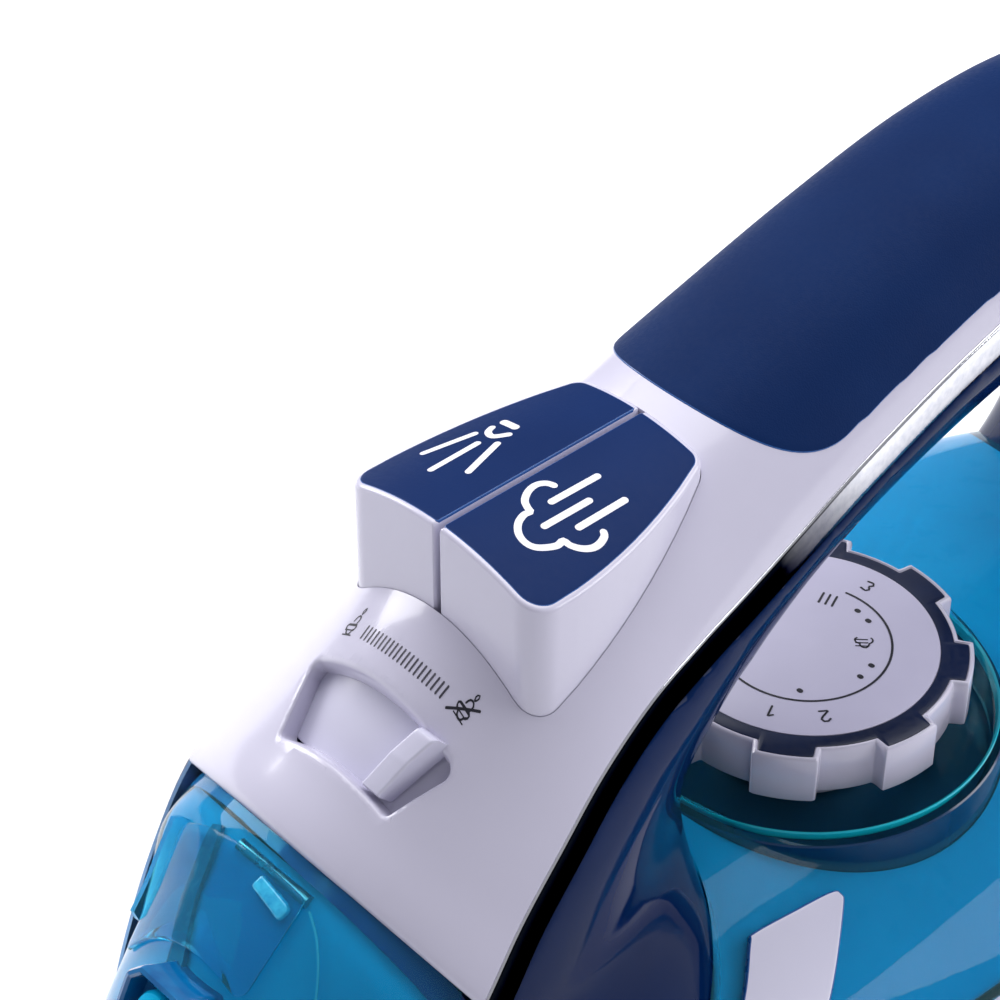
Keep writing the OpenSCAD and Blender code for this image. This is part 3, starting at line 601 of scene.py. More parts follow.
RIB = finish_of("tank_rib", srgb(0, 104, 146), srgb(0, 120, 160), (0.2, 0.3), size=50)
# Painted shade: the recess cup is dark navy where the recess lies in shadow.
RECESS_SHADE = finish_of("recess_navy_shade", srgb(1, 44, 84), srgb(3, 56, 98), (0.12, 0.2), size=40,
                  grain=800, bump=0.01)
RIM_LIGHT = finish_of("recess_rim", srgb(0, 168, 190), srgb(20, 184, 204), (0.1, 0.2), size=60)
CHROME = finish_of("chrome_edge", srgb(232, 232, 238), srgb(244, 244, 248), (0.06, 0.14),
                   size=120, grain=1500, bump=0.03, Metallic=1.0)
# The two strips are one chrome in the object. These tones are painted along them to stand in for
# what they reflect in the photograph, so they look wrong from other sides.
UNLIT, BRIGHT = (0.004, 0.005, 0.008, 1), (0.9, 0.9, 0.93, 1)
CHROME_DARK_REFLECTION = finish_of("chrome_dark_reflection", srgb(226, 228, 234), srgb(250, 250, 252), (0.04, 0.12),
                        size=900, grain=2600, bump=0.05, along=("Y", [
                            (-100, UNLIT), (-6, UNLIT), (4, (0.30, 0.30, 0.33, 1)),
                            (14, BRIGHT), (125, BRIGHT)]), Metallic=1.0,
                        Specular_Tint=(0.08, 0.08, 0.1, 1))
CHROME_PALE_REFLECTION = finish_of("chrome_pale_reflection", srgb(226, 228, 234), srgb(250, 250, 252), (0.1, 0.2),
                        size=900, grain=2600, bump=0.04, along=("Y", [
                            (-100, srgb(120, 170, 214)), (-62, srgb(150, 180, 218)),
                            (-20, BRIGHT), (125, BRIGHT)]), Metallic=0.45)
STEEL = finish_of("brushed_steel", srgb(176, 178, 184), srgb(196, 198, 204), (0.22, 0.38),
                  size=70, grain=1600, bump=0.06, stretch=(1, 0.06, 1), Metallic=1.0)
ZINC = finish_of("cast_zinc", srgb(160, 162, 168), srgb(182, 184, 190), (0.35, 0.5), size=120,
                 grain=1800, bump=0.1, Metallic=0.9)
IRON = finish_of("element_iron", srgb(74, 66, 62), srgb(98, 86, 78), (0.6, 0.75), size=200,
                 grain=2400, bump=0.3)
SEAL = finish_of("seal_rubber", srgb(20, 30, 52), srgb(30, 42, 68), (0.55, 0.7), size=120,
                 grain=3000, bump=0.15)
NATURAL = finish_of("natural_plastic", srgb(214, 210, 200), srgb(226, 222, 212), (0.4, 0.5),
                    size=90, grain=2200, bump=0.06)
BRASS = finish_of("brass", srgb(176, 140, 82), srgb(198, 162, 98), (0.25, 0.4), size=160,
                  grain=1800, bump=0.06, Metallic=1.0)
LAMP = finish_of("lamp_red", srgb(196, 40, 26), srgb(222, 60, 38), (0.04, 0.1), size=90,
                 Transmission_Weight=0.5, IOR=1.5)
OF_SLOT = {"soleplate": STEEL, "element": IRON, "zinc": ZINC, "white": WHITE, "tank": TANK,
           "seal": SEAL, "navy_gloss": NAVY, "grip": PAD, "ink": INK, "chrome": CHROME,
           "natural": NATURAL, "steel": STEEL, "brass": BRASS, "lamp": LAMP}

for part in frame["record"]["subparts"]:
    mesh = frame["nodes"][part["node"]].data
    mesh.materials.clear()
    mesh.materials.append(OF_SLOT[part["material_slot"]])


def dress(ob, mats, slot, body, *nodes):
    """Gives a piece its materials and its body, and hides the CAD nodes it stands for; slot is not
    used.
    """
    if None in list(ob.data.materials):
        ob.data.materials.clear()
    for mat in (mats if isinstance(mats, list) else [mats]):
        ob.data.materials.append(mat)
    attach(ob, body)
    if nodes:
        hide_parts(*nodes)
    return ob


# ---- white shell -------------------------------------------------------------------------

ARC = np.linspace(0, math.pi, 121)
FINE = 32
TABLE = smooth(TRIM, FINE)


def row_at(s):
    """Row of TRIM at a fractional index."""
    t = min(max(s, 0.0), len(TRIM) - 1.0) * FINE
    i = min(int(t), len(TABLE) - 2)
    return TABLE[i] + (TABLE[i + 1] - TABLE[i]) * (t - i)


def shell_ring(s, d, sink=0.0, arc=ARC):
    row = row_at(s)
    ring = over(row, d, arc)
    if sink:
        u = unit(row[3:5] - row[0:2]) * sink
        ring = np.vstack([ring, [[x * (row[2] - d), row[0] - u[0], row[1] - u[1]]
                                 for x in (-1, 1)]])
    return ring


def on_slope(x, s, h):
    """Point of the shell's front slope: across, up the slope and out of it."""
    return np.array([x, SLIDER_Y + s * math.cos(SLOPE) - h * math.sin(SLOPE),
                     SLIDER_Z + s * math.sin(SLOPE) + h * math.cos(SLOPE)])


OUT = np.array([0, -math.sin(SLOPE), math.cos(SLOPE)])
LAST = len(TRIM) - 1
rim = [(4.0, 0.95), (4.012, 0.5), (4.035, 0.2), (4.07, 0.04)]
rings = [shell_ring(s, d) for s, d in rim]
rings += [shell_ring(s, 0) for s in np.arange(4.125, LAST + 0.01, 0.125)]
shell = loft("white_shell", rings)
SHELL_TREE = tree_of(shell)


def on_shell(x, y):
    return drop(SHELL_TREE, x, y)


# Window of the slider: its outline seen from above, and how its walls draw in with depth.
window = fillet([(10.7, -71.3), (15.5, -61.7), (-16.2, -61.4), (-12.6, -71.3)],
                [1.2, 1.3, 1.0, 0.9])
window = anticlockwise(resample(window, 220))
top_side = np.clip((window[:, 1] + 63.6) / 1.6, 0, 1)


def window_ring(d, level, draft=0.0):
    flat = inset(window, d + draft * top_side)
    return np.array([on_shell(x, y)[0] for x, y in flat]) + OUT * np.asarray(level).reshape(-1, 1)


PLATE_R = 35.05
seat = window_ring(-1.4, 0.0)
plate_gap = np.sqrt(PLATE_R ** 2 - seat[:, 0] ** 2) - SLIDE_R
surface_h = (seat - on_slope(0, 0, 0)) @ OUT
seat_floor = plate_gap - surface_h + 0.35

inner = [shell_ring(s, WALL, 14) for s in np.arange(3.4, LAST + 0.01, 0.2)]
end = inner[-1].copy()
end[:, 2] -= 6
cut(shell, loft("hollow", inner + [end]))
flange = loft("flange", [window_ring(-1.4, -1.0), window_ring(-1.4, seat_floor)])
cut(shell, flange, "UNION")
fall = [(-1.3, 3.0, 0), (-0.95, 0.15, 0), (-0.6, 0.0, 0), (-0.3, -0.12, 0.05), (-0.1, -0.35, 0.12),
        (0.0, -0.7, 0.25), (0.05, -2.2, 0.75), (0.1, -4.6, 1.3), (0.1, -7.0, 1.3)]
cut(shell, loft("window", [window_ring(d, level, draft) for d, level, draft in fall]))

# ---- button block ------------------------------------------------------------------------

BLOCK_FRONT, BLOCK_BACK, SPLIT = -51.5, -11.5, 1.2
RIM, CAP_PROUD = 0.8, 0.05


def block_half(y):
    return 20.6 - 0.0057 * (y + 48) ** 2


def block_plan(edge, split_edge):
    """Plan of one button, drawn in by edge, and by split_edge where it meets the other."""
    front, back, mid = BLOCK_FRONT + edge, BLOCK_BACK - edge, SPLIT / 2 + split_edge
    side = [(block_half(y) - edge, y) for y in np.linspace(front + 8, back - 6, 9)]
    corners = [(mid, front), (block_half(front) - edge, front)] + side
    corners += [(block_half(back) - edge, back), (mid, back)]
    radii = [0.35, 4.4 - edge] + [0] * len(side) + [3.2 - edge, 0.35]
    return fillet(corners, radii, 9)


def crown(lift, sign=1):
    def place(x, y):
        return np.array([sign * x, y, BUTTON_Z - x * x * CROWN_K + lift]), np.array([0, 0, 1.0])
    return place


opening = block_plan(-0.12, 0)
opening = np.vstack([opening[opening[:, 0] > 1.2], (opening[opening[:, 0] > 1.2] * [-1, 1])[::-1]])
cut(shell, prism("opening", opening, 90, 140))

for sign, key in ((1, "steam"), (-1, "spray")):
    plan = resample(block_plan(0, 0), 260)
    body = patch(f"{key}_button_body", plan, crown(0, sign), 0.6, 21, 24)
    dress(soften(body), WHITE, "white", f"{key}_button", f"{key}_button")
    plan = resample(block_plan(RIM, 0.05), 260)
    cap = patch(f"{key}_cap", plan, crown(CAP_PROUD, sign), 0.15, 1.0, 24, material_edge=True)
    dress(soften(cap, 50), [CAP, EDGE], "grip", f"{key}_button", f"{key}_button_cap")

CLOUD = [(4.3, -33.11), (3.25, -33.67), (2.63, -35.0), (2.94, -36.77), (4.04, -38.45),
         (5.42, -39.15), (6.19, -39.34), (6.08, -40.46), (6.78, -42.19), (8.18, -43.47),
         (9.83, -43.91), (11.33, -43.42), (12.35, -42.02), (12.92, -40.43), (12.75, -39.19),
         (13.85, -38.95), (15.09, -37.97), (15.85, -36.55), (15.85, -35.12), (15.32, -33.76),
         (14.71, -33.32)]
STEAM = [[(6.69, -26.9), (6.52, -35.65)], [(9.46, -31.13), (9.36, -39.63)],
         [(12.21, -26.82), (12.23, -35.75)]]
SPRAY = [[(-13.66, -32.01), (-15.87, -39.96)], [(-11.12, -33.77), (-11.01, -42.73)],
         [(-8.66, -32.14), (-6.31, -39.76)]]
HOOK = [(-12.84, -29.39), (-12.36, -30.57), (-11.21, -31.17), (-10.38, -30.87), (-9.23, -29.38)]
BAR = [(-12.5, -27.3), (-10.0, -27.4)]
ICON_W = 1.1
icon = print_on("steam_icon", [(smooth(CLOUD, 4), ICON_W)] + [(s, ICON_W) for s in STEAM],
                crown(CAP_PROUD))
dress(icon, PRINTED, "white", "steam_button")
icon = print_on("spray_icon", [(s, ICON_W) for s in SPRAY] + [(smooth(HOOK, 4), ICON_W),
                                                             (BAR, 1.3)], crown(CAP_PROUD))
dress(icon, PRINTED, "white", "spray_button")

# ---- openings at the back, and marks on the shell ----------------------------------------

GLAND, GLAND_TILT, GLAND_R = (0, 121, 121), math.radians(52), 8.6
LENS, LENS_R = (0, 133, 80), 3.65
REAR_X, REAR_Z = 20.2, (29.8, 70.2)


def along_gland(x, y, z):
    c, w = math.cos(GLAND_TILT), math.sin(GLAND_TILT)
    return np.array([x, GLAND[1] + y * c + z * w, GLAND[2] - y * w + z * c])


def towards_back(x, y, z):
    return np.array([x + LENS[0], LENS[1] + z, LENS[2] + y])


circle = np.linspace(0, 2 * math.pi, 96, endpoint=False)
ring = np.column_stack([np.cos(circle), np.sin(circle)])
cut(shell, prism("gland_hole", ring * GLAND_R, -30, 30, along_gland))
cut(shell, prism("lens_hole", ring * LENS_R, -5, 30, towards_back))
box = fillet([(-REAR_X, REAR_Z[0]), (REAR_X, REAR_Z[0]), (REAR_X, REAR_Z[1]),
              (-REAR_X, REAR_Z[1])], [0, 0, 0, 0])
cut(shell, prism("rear_hole", box, 0, 60, lambda x, y, z: np.array([x, 120 + z, y])))
dress(soften(shell, 32), WHITE, "white", "housing", "upper_shell")

TICKS, TICK_X, TICK_W = 21, (-9.0, 8.3), 0.3
ticks = []
for i in range(TICKS):
    x = TICK_X[0] + (TICK_X[1] - TICK_X[0]) * i / (TICKS - 1)
    bow = 0.5 * (1 - (x / 9) ** 2)
    ticks.append(([(x + 0.1, -56.8 - bow), (x - 0.1, -58.25 - bow)], TICK_W))
dress(print_on("scale_ticks", ticks, on_shell), SCALE, "ink", "housing")


def small_steam(cx, cy, size, crossed):
    """Cloud with a drop over it, and a stroke through it where the steam is off."""
    cloud = (np.array(CLOUD) - [9.3, -38.5]) * [size, size * 0.75] + [cx, cy - 0.5]
    upper = np.array([(-1, 0), (-0.5, 1.1), (0.5, 1.4), (1.2, 0.6), (0.9, -0.5)]) * size * 3
    drop_at = closed_smooth(np.array([(0, 0), (0.35, 0.5), (0.2, 1.0), (-0.2, 0.6)]) * size * 5, 4)
    strokes = [(np.vstack([cloud, cloud[:1]]), 0.26),
               (smooth(upper + [cx + 0.3, cy + 0.6], 3), 0.24),
               (drop_at + [cx + 0.6, cy + 1.5], 0.2)]
    for k in (-0.5, 0.1, 0.7):
        strokes.append(([(cx - 1.0, cy + k - 0.6), (cx + 0.9, cy + k - 0.7)], 0.16))
    if crossed:
        strokes.append(([(cx - 2.1, cy - 1.5), (cx + 1.9, cy + 1.3)], 0.3))
    return strokes


marks = small_steam(-12.5, -57.0, 0.16, False) + small_steam(11.8, -57.0, 0.17, True)
dress(print_on("scale_icons", marks, on_shell), MARK, "ink", "housing")

# ---- steam slider ------------------------------------------------------------------------


def on_drum(angle, s, r):
    """Point of the slider's drum: turn from straight up, place up the slope, radius."""
    return on_slope(r * math.sin(angle), s, r * math.cos(angle) - SLIDE_R)


turn = np.radians(np.linspace(-29, 46, 84))
section = fillet([(-8.0, PLATE_R - 1.5), (8.0, PLATE_R - 1.5), (8.0, PLATE_R), (-8.0, PLATE_R)],
                 [0.2, 0.2, 0.4, 0.4], 4)
plate = loft("slider_plate", [[on_drum(a, q[0], q[1]) for q in section] for a in turn])
LEVER_W = 4.1
top_line = np.array([(-6.3, -1.5), (-6.0, -1.0), (-0.6, 0.15), (0.2, 0.35), (4.6, 0.45),
                     (5.2, 0.3), (5.5, -0.3)])
rings = []
for s in np.concatenate([[-6.3, -6.15], np.linspace(-6, 5, 34), [5.25, 5.42, 5.5]]):
    left = 4.5 + (s + 6.3) / 11.8 * 4.1
    top = float(np.interp(s, top_line[:, 0], top_line[:, 1]))
    profile = fillet([(left, -4.6), (left + LEVER_W, -4.6), (left + LEVER_W - 0.15, top),
                      (left + 0.15, top)], [0, 0, 0.5, 0.55], 5)
    rings.append([on_slope(x, s, h) for x, h in profile])
lever = loft("slider_lever", rings)
cut(plate, lever, "UNION")
dress(soften(plate, 40), PALE, "white", "steam_slider", "steam_slider")

# ---- chrome strips -----------------------------------------------------------------------

side_rows = []
for i in range(len(TRIM)):
    a, b = TRIM[max(i - 1, 0)], TRIM[min(i + 1, LAST)]
    d = unit(b[:2] - a[:2])
    side_rows.append([*TRIM[i][:3], d[1], -d[0]])
side_rows = smooth(side_rows, 10)
STRIP = [(0.2, -1.0), (0.2, -0.3), (0.26, 0.0), (0.42, 0.26), (0.7, 0.42), (2.6, 0.56),
         (4.6, 0.55), (6.0, 0.42), (6.55, 0.2), (6.8, -0.2), (6.85, -1.0)]
for sign, key in ((1, "left"), (-1, "right")):
    rings = []
    for y, z, w, ny, nz in side_rows:
        if z > SKIRT_Z + 4.5:
            rings.append([(sign * (w + o), y + n * ny, z + n * nz) for n, o in STRIP])
    strip = loft(f"chrome_strip_{key}", rings)
    m = len(STRIP)
    for i, p in enumerate(strip.data.polygons):
        p.material_index = 0 if i < (len(rings) - 1) * m and i % m in (1, 2) else 1
    # The +X strip takes the painted dark reflection, the -X strip the painted pale reflection.
    reflection_mat = CHROME_DARK_REFLECTION if sign > 0 else CHROME_PALE_REFLECTION
    dress(soften(strip, 60), [CHROME, reflection_mat], "chrome", "housing", f"chrome_trim_{key}")

# ---- grip pad ----------------------------------------------------------------------------

PAD_ROWS = np.linspace(10.2, 17.2, 141)
HALF = np.linspace(math.pi / 2, 0.02, 90)
pad_arcs = []
for s in PAD_ROWS:
    ring = shell_ring(s, 0, arc=HALF)
    run = np.concatenate([[0], np.cumsum(np.linalg.norm(np.diff(ring, axis=0), axis=1))])
    pad_arcs.append((ring, run))
crest_y = np.array([r[0][0][1] for r in pad_arcs])
LOWER_EDGE = np.array([(-7, 121.5), (1, 121.3), (8, 122.4), (20, 126.2), (40, 131.8),
                       (64, 135.8), (84, 136), (97, 133.4), (112, 124)])


def on_grip(p, q):
    """Point and normal of the grip's top: p mm round from the crest, q the crest's place."""
    def at(p, q):
        t = float(np.interp(q, crest_y, np.arange(len(crest_y))))
        i = min(int(t), len(crest_y) - 2)
        point = []
        for k in (i, i + 1):
            ring, run = pad_arcs[k]
            point.append([np.interp(abs(p), run, ring[:, c]) for c in range(3)])
        point = np.array(point[0]) * (1 - (t - i)) + np.array(point[1]) * (t - i)
        return point * [math.copysign(1, p), 1, 1]
    here = at(p, q)
    n = np.cross(at(p + 0.2, q) - at(p - 0.2, q), at(p, q + 0.2) - at(p, q - 0.2))
    return here, unit(n) * (1 if n[2] > 0 else -1)


def reach(q):
    """How far round the grip the pad goes at q."""
    i = int(np.argmin(np.abs(crest_y - q)))
    ring, run = pad_arcs[i]
    low = np.interp(ring[:, 1], LOWER_EDGE[:, 0], LOWER_EDGE[:, 1])
    below = np.nonzero(ring[:, 2] < low)[0]
    return float(run[below[0]]) if len(below) else float(run[-1])


PAD_FRONT, PAD_BACK, FRONT_BOW, BACK_BOW = -7.0, 104.0, 15.0, 12.0
right = []
for u in np.sin(np.linspace(0, math.pi / 2, 22)):
    q = PAD_FRONT + FRONT_BOW * (1 - math.sqrt(max(0, 1 - u ** 2.2)))
    right.append((u * reach(PAD_FRONT + FRONT_BOW), q))
right += [(reach(q), q) for q in np.linspace(PAD_FRONT + FRONT_BOW + 1, PAD_BACK - BACK_BOW, 50)]
for u in np.cos(np.linspace(0, math.pi / 2, 22)):
    q = PAD_BACK - BACK_BOW * (1 - math.sqrt(max(0, 1 - u ** 2.6)))
    right.append((u * reach(PAD_BACK - BACK_BOW), q))
right = np.array(right)
outline = resample(np.vstack([right, (right * [-1, 1])[::-1]]), 420)


def pad_place(p, q):
    here, n = on_grip(p, q)
    return here + n * 0.12, n


pad = patch("grip_cushion", outline, pad_place, 0.22, 0.8, 40, material_edge=True)
dress(soften(pad, 50), [PAD, EDGE], "grip", "housing", "grip_pad")

# ---- navy underside of the handle --------------------------------------------------------


def neck_rings(d, k=6):
    rings = []
    t = 1 - np.cos(np.linspace(0, math.pi / 2, 40))
    for z, front, w, rear, p in smooth(NECK, k):
        y = front + (rear - d - front) * (1 - t)
        limit = np.array([half_w(v) - SIDE_GAP - 0.4 for v in y])
        x = np.minimum(w * np.maximum(0, 1 - (1 - t) ** p) ** (1 / p), limit)
        x = np.maximum(x - np.where(np.arange(len(t)) == 0, 0, d), 0)
        side = np.column_stack([x, y, np.full_like(x, z)])
        rings.append(np.vstack([side[1:], (side[1:-1] * [-1, 1, 1])[::-1]]))
    return np.array(rings)


def under_rings(d, k=6):
    rows = []
    for i in range(GRIP, len(TRIM)):
        a, b = TRIM[max(i - 1, 0)], TRIM[min(i + 1, LAST)]
        v = unit(b[:2] - a[:2])
        rows.append([*TRIM[i][:3], v[1], -v[0], *UNDER[i - GRIP]])
    rings = []
    arc = np.linspace(0, math.pi, 61)
    for y, z, w, ny, nz, cy, cz in smooth(rows, k):
        a, n = w + 0.3 - d, np.array([ny, nz])
        edge = np.array([y, z]) + (STRIP_H - 0.6) * n
        core = np.array([cy, cz]) - d * unit(np.array([cy, cz]) - edge)
        v = np.sin(arc) ** (2 / 2.1)
        yz = edge + (core - edge) * v[:, None]
        rings.append(np.column_stack([-a * signed_power(np.cos(arc), 2 / 2.3), yz]))
    return np.array(rings)


def before_strip(name, d):
    """Prism of everything ahead of the lower run of the strip, moved down it by d."""
    line = [(y + d * ny, z + d * nz) for y, z, _, ny, nz in side_rows[:GRIP * 10 + 21]]
    line = [(-145, 10), (line[0][0] - 1, 10)] + line + [(line[-1][0], 130), (-145, 130)]
    return prism(name, line, -70, 70, lambda y, z, x: np.array([x, y, z]))


handle = loft("handle_underside", neck_rings(0))
cut(handle, loft("under", under_rings(0)), "UNION")
cut(handle, before_strip("ahead", STRIP_H - 1.2))
cut(handle, prism("button_room", [(-22, -80), (22, -80), (22, -10), (-22, -10)], 93, 140))
remesh(handle, 0.85, 10)
for p in handle.data.polygons:
    p.use_smooth = True
dress(handle, NAVY, "navy_gloss", "housing", "lower_handle")

# ---- tank --------------------------------------------------------------------------------

HUMP_ARC = np.linspace(0, math.pi, 141)
NOSE_LEAN = 0.0022


def tank_body(name, rows, d, lean=0.0):
    rings = hump(rows, d, HUMP_ARC, 8, lean)
    low = SKIRT_Z
    closed = [np.vstack([r, [[r[-1][0], r[0][1], low - 0.2], [r[0][0], r[0][1], low - 0.2]]])
              for r in rings]
    return loft(name, closed)


deck = tank_body("tank_deck", DECK, 0)
DECK_TREE = tree_of(deck)


def on_deck(x, y):
    return drop(DECK_TREE, x, y)


well = [(0, 37.0), (RECESS_R - 0.5, 37.0), (RECESS_R, 37.5), (RECESS_R, 46.2), (RECESS_R + 0.3, 47.2),
        (RECESS_R + 1.2, 48.1), (RECESS_R + 2.5, 52), (0, 52)]
cut(deck, turned("well", well, (0, DIAL_Y)))
inner_deck = tank_body("tank_inside", DECK, WALL + 0.3)
cut(inner_deck, turned("well", [(0, 30), (RECESS_R + 2.4, 30), (RECESS_R + 2.4, 60), (0, 60)],
                       (0, DIAL_Y)))
neck_cut = loft("neck_cut", neck_rings(-0.25))
cut(deck, neck_cut, keep=True)
cut(inner_deck, neck_cut)
dress(soften(deck), TANK, "tank", "housing", "tank_shell")
dress(soften(inner_deck), CORE, "tank", "housing")
# Dark navy cup in the dial's recess: painted shade for the shadow there.
shade_cup = [(0, 36.2), (RECESS_R + 2.2, 36.2), (RECESS_R + 2.2, 44.6), (RECESS_R + 1.9, 44.8),
         (RECESS_R + 1.7, 44.6), (RECESS_R + 1.7, 37.6), (RECESS_R + 1.2, 36.9), (24, 36.7),
         (0, 36.7)]
shade_cup = turned("recess_shade_cup", shade_cup, (0, DIAL_Y))
dress(soften(shade_cup), RECESS_SHADE, "navy_gloss", "housing")
lip = torus_loft("recess_lip", [round_line(RECESS_R + out, z) for out, z in (
    (0.08, 44.95), (0.38, 44.75), (1.0, 46.55), (0.85, 46.85), (0.45, 46.55))])
dress(soften(lip), RIM_LIGHT, "tank", "housing")

# Nose: the clear shell, and the tinted body inside it that stops short of the white shell.
nose = tank_body("tank_nose", NOSE, 0, NOSE_LEAN)
NOSE_TREE = tree_of(nose)


def on_nose(x, y):
    return drop(NOSE_TREE, x, y)


def white_shell_room(grow, ahead):
    """Everything the white shell covers at its front, drawn forward by ahead."""
    rings = [shell_ring(s, -grow, 30) + [0, -0.87 * ahead, -0.5 * ahead]
             for s in np.arange(4.0, 9.01, 0.2)]
    return loft("room", rings)


cut(nose, before_strip("ahead", -0.1), "INTERSECT")
cut(nose, white_shell_room(0.12, 0))
inner_nose = tank_body("nose_inside", NOSE, WALL, NOSE_LEAN)
cut(inner_nose, before_strip("ahead", -2.4), "INTERSECT")
cut(inner_nose, white_shell_room(0.2, 2.2))
dress(soften(nose), TANK, "tank", "housing")
dress(soften(inner_nose), CORE, "tank", "housing")


def nose_ribbon(name, line, width, depth, thick, k=6):
    """Bar that follows the nose just below its surface; line is (x, y, width factor)."""
    rows = smooth(line, k)
    rings = []
    for i, (x, y, f) in enumerate(rows):
        here, n = on_nose(x, y)
        a, b = rows[max(i - 1, 0)], rows[min(i + 1, len(rows) - 1)]
        pa, pb = on_nose(a[0], a[1])[0], on_nose(b[0], b[1])[0]
        across = unit(np.cross(unit(pb - pa), n))
        top = here - n * depth
        half = width * f / 2
        rings.append([top - across * half - n * thick, top - across * half * 0.9,
                      top + across * half * 0.9, top + across * half - n * thick])
    return loft(name, rings)


# Navy gasket below the white shell's front edge; its paler colour towards the right-hand side is a
# painted reflection.
rings = []
for a in np.linspace(0.22, math.pi - 0.22, 120):
    edge = shell_ring(4.0, 0.0, arc=np.array([a]))[0]
    x, y = edge[0], edge[1]
    span = 1.1 + 1.5 * float(np.clip((x + 6) / 36, 0, 1))
    fore, n0 = on_nose(x * 0.995, y - span)
    aft, n1 = on_nose(x, y + 1.2)
    if fore is None or aft is None:
        continue
    rings.append([fore - n0 * 0.35, aft - n1 * 0.35, aft - n1 * 1.6, fore - n0 * 1.6])
gasket_reflection_mat = finish_of("gasket_navy", srgb(250, 250, 255), srgb(255, 255, 255), (0.15, 0.25),
                       size=40, along=("X", [(-26, srgb(86, 128, 184)), (-9, srgb(82, 112, 170)),
                                             (1, srgb(60, 92, 156)), (7, srgb(6, 58, 134)),
                                             (34, srgb(2, 44, 118))]))
dress(soften(loft("nose_gasket", rings)), gasket_reflection_mat, "navy_gloss", "housing")

rib = nose_ribbon("nose_rib", [(-13.6, -83.0, 0.6), (-12.0, -86.5, 0.9), (-10.2, -91, 1),
                               (-6.6, -96, 1), (-4.2, -99.6, 1.1)], 4.0, 0.4, 0.9)
dress(soften(rib), RIB, "tank", "housing")
bow = [(9.2, -84.2, 1), (12.4, -85.6, 1), (15.2, -88, 1), (17.2, -91.5, 1),
       (18, -96, 1)]
seam = nose_ribbon("nose_seam", bow, 0.35, 0.02, 0.3)
dress(soften(seam), finish_of("seam_light", srgb(90, 200, 226), srgb(120, 214, 236), (0.1, 0.2)),
      "tank", "housing")

# Filling door: a clear flap lying on the nose, its hinge knuckle and its thumb tab.
door_line = fillet([(8.2, -83.6), (8.2, -96.5), (-20.2, -96.5), (-20.2, -83.6)], [1, 2, 2, 1])


def on_door(x, y):
    here, n = on_nose(x, y)
    return here + n * 0.75, n


door_plan = resample(anticlockwise(door_line), 200)
door = patch("door_flap", door_plan, on_door, 0.25, 0.5, 16)
tab = []
for t in np.linspace(0, 1, 24):
    y = -83.2 - 9.8 * t
    here, n = on_nose(-20.4, y)
    end = min(t, 1 - t) * 24
    tall = 2.6 * min(1, 0.55 + end * 0.45)
    out = unit(n + np.array([-0.9, -0.1, 0.2]))
    wide = np.array([0.5, 0, 0.2])
    base = here - n * 0.4
    tab.append([base - wide, base + out * tall - wide, base + out * tall + wide, base + wide])
tab = loft("door_tab", tab)
lug = patch("door_lug", resample(anticlockwise(fillet([(7.2, -85.4), (6.4, -87.4), (-0.6, -86.6),
                                                     (0.0, -84.8)], [0.7, 0.7, 0.5, 0.5])), 60),
            lambda x, y: (on_nose(x, y)[0] + on_nose(x, y)[1] * 0.85, on_nose(x, y)[1]), 0.4, 1.2, 6)
flap = join("fill_door_clear", [door, tab])
dress(soften(flap), TANK, "tank", "fill_door", "fill_door")
lug_mat = finish_of("lug_bright", srgb(20, 150, 206), srgb(60, 196, 236), (0.05, 0.12), size=700,
                    Coat_Weight=0.5)
dress(soften(lug), lug_mat, "tank", "fill_door")

# Spray nozzle: a housing with a dark-blue lip round a clear middle.
NOZZLE, NOZZLE_TILT = (0, -102.6, 66.4), math.radians(60)


def on_nozzle(x, y, z):
    c, w = math.cos(NOZZLE_TILT), math.sin(NOZZLE_TILT)
    return np.array([x, NOZZLE[1] + y * c - z * w, NOZZLE[2] + y * w + z * c])


frame_line = anticlockwise(fillet([(-6.6, -6), (6.6, -6), (7.0, 3.2), (4.6, 5.6), (-4.6, 5.6),
                                   (-7.0, 3.2)], [2, 2, 1.6, 1.2, 1.2, 1.6]))
rings = [[on_nozzle(*q, z) for q in inset(frame_line, d)]
         for d, z in ((0, -5), (0, 4.2), (0.3, 4.8), (0.9, 5.0), (1.3, 4.6), (1.4, 1.2))]
rings += [[on_nozzle(*(q * 0.02), 1.2) for q in frame_line]]
housing = loft("nozzle_frame", rings)
lip_mat = finish_of("nozzle_blue", srgb(4, 84, 142), srgb(10, 104, 160), (0.05, 0.12), size=300,
                    Coat_Weight=0.5)
dress(soften(housing), lip_mat, "tank", "housing", "nozzle_housing")
tip_profile = [(0, -4), (3.6, -4), (3.6, 3.6), (3.2, 4.4), (2.2, 4.9), (1.1, 5.0), (0.5, 4.4), (0, 4.4)]
tip = turned("nozzle_cone", tip_profile, steps=64, place=on_nozzle)
dress(soften(tip), CORE, "white", "housing", "nozzle_tip")

# ---- white fins, skirt -------------------------------------------------------------------

for sign, key in ((1, "left"), (-1, "right")):
    outline = closed_smooth(FIN, 8)
    room = np.array([(half_w(y) - SIDE_GAP) * 0.985 for y in outline[:, 1]])
    outline[:, 0] = np.minimum(outline[:, 0], room)
    outline = resample(anticlockwise(outline * [sign, 1]), 220)

    def on_fin(x, y):
        here, n = on_deck(x, y)
        return here + n * 0.75, n

    # The blue rim round the fin is painted shade.
    fin = patch(f"fin_{key}", outline, on_fin, 0.3, 1.4, 24, material_edge=True)
    dress(soften(fin, 60), [PALE, EDGE], "white", "housing", f"side_fin_{key}")


def plan_line(inset_by, k=240):
    y = -(SOLE_L / 2 - 0.4) * np.cos(np.linspace(0, math.pi, k))
    kx, ky = 1 - 2 * inset_by / SOLE_W, 1 - 2 * inset_by / SOLE_L
    half = np.array([[kx * half_w(v), ky * v] for v in y])
    return np.vstack([half, (half * [-1, 1])[::-1]])


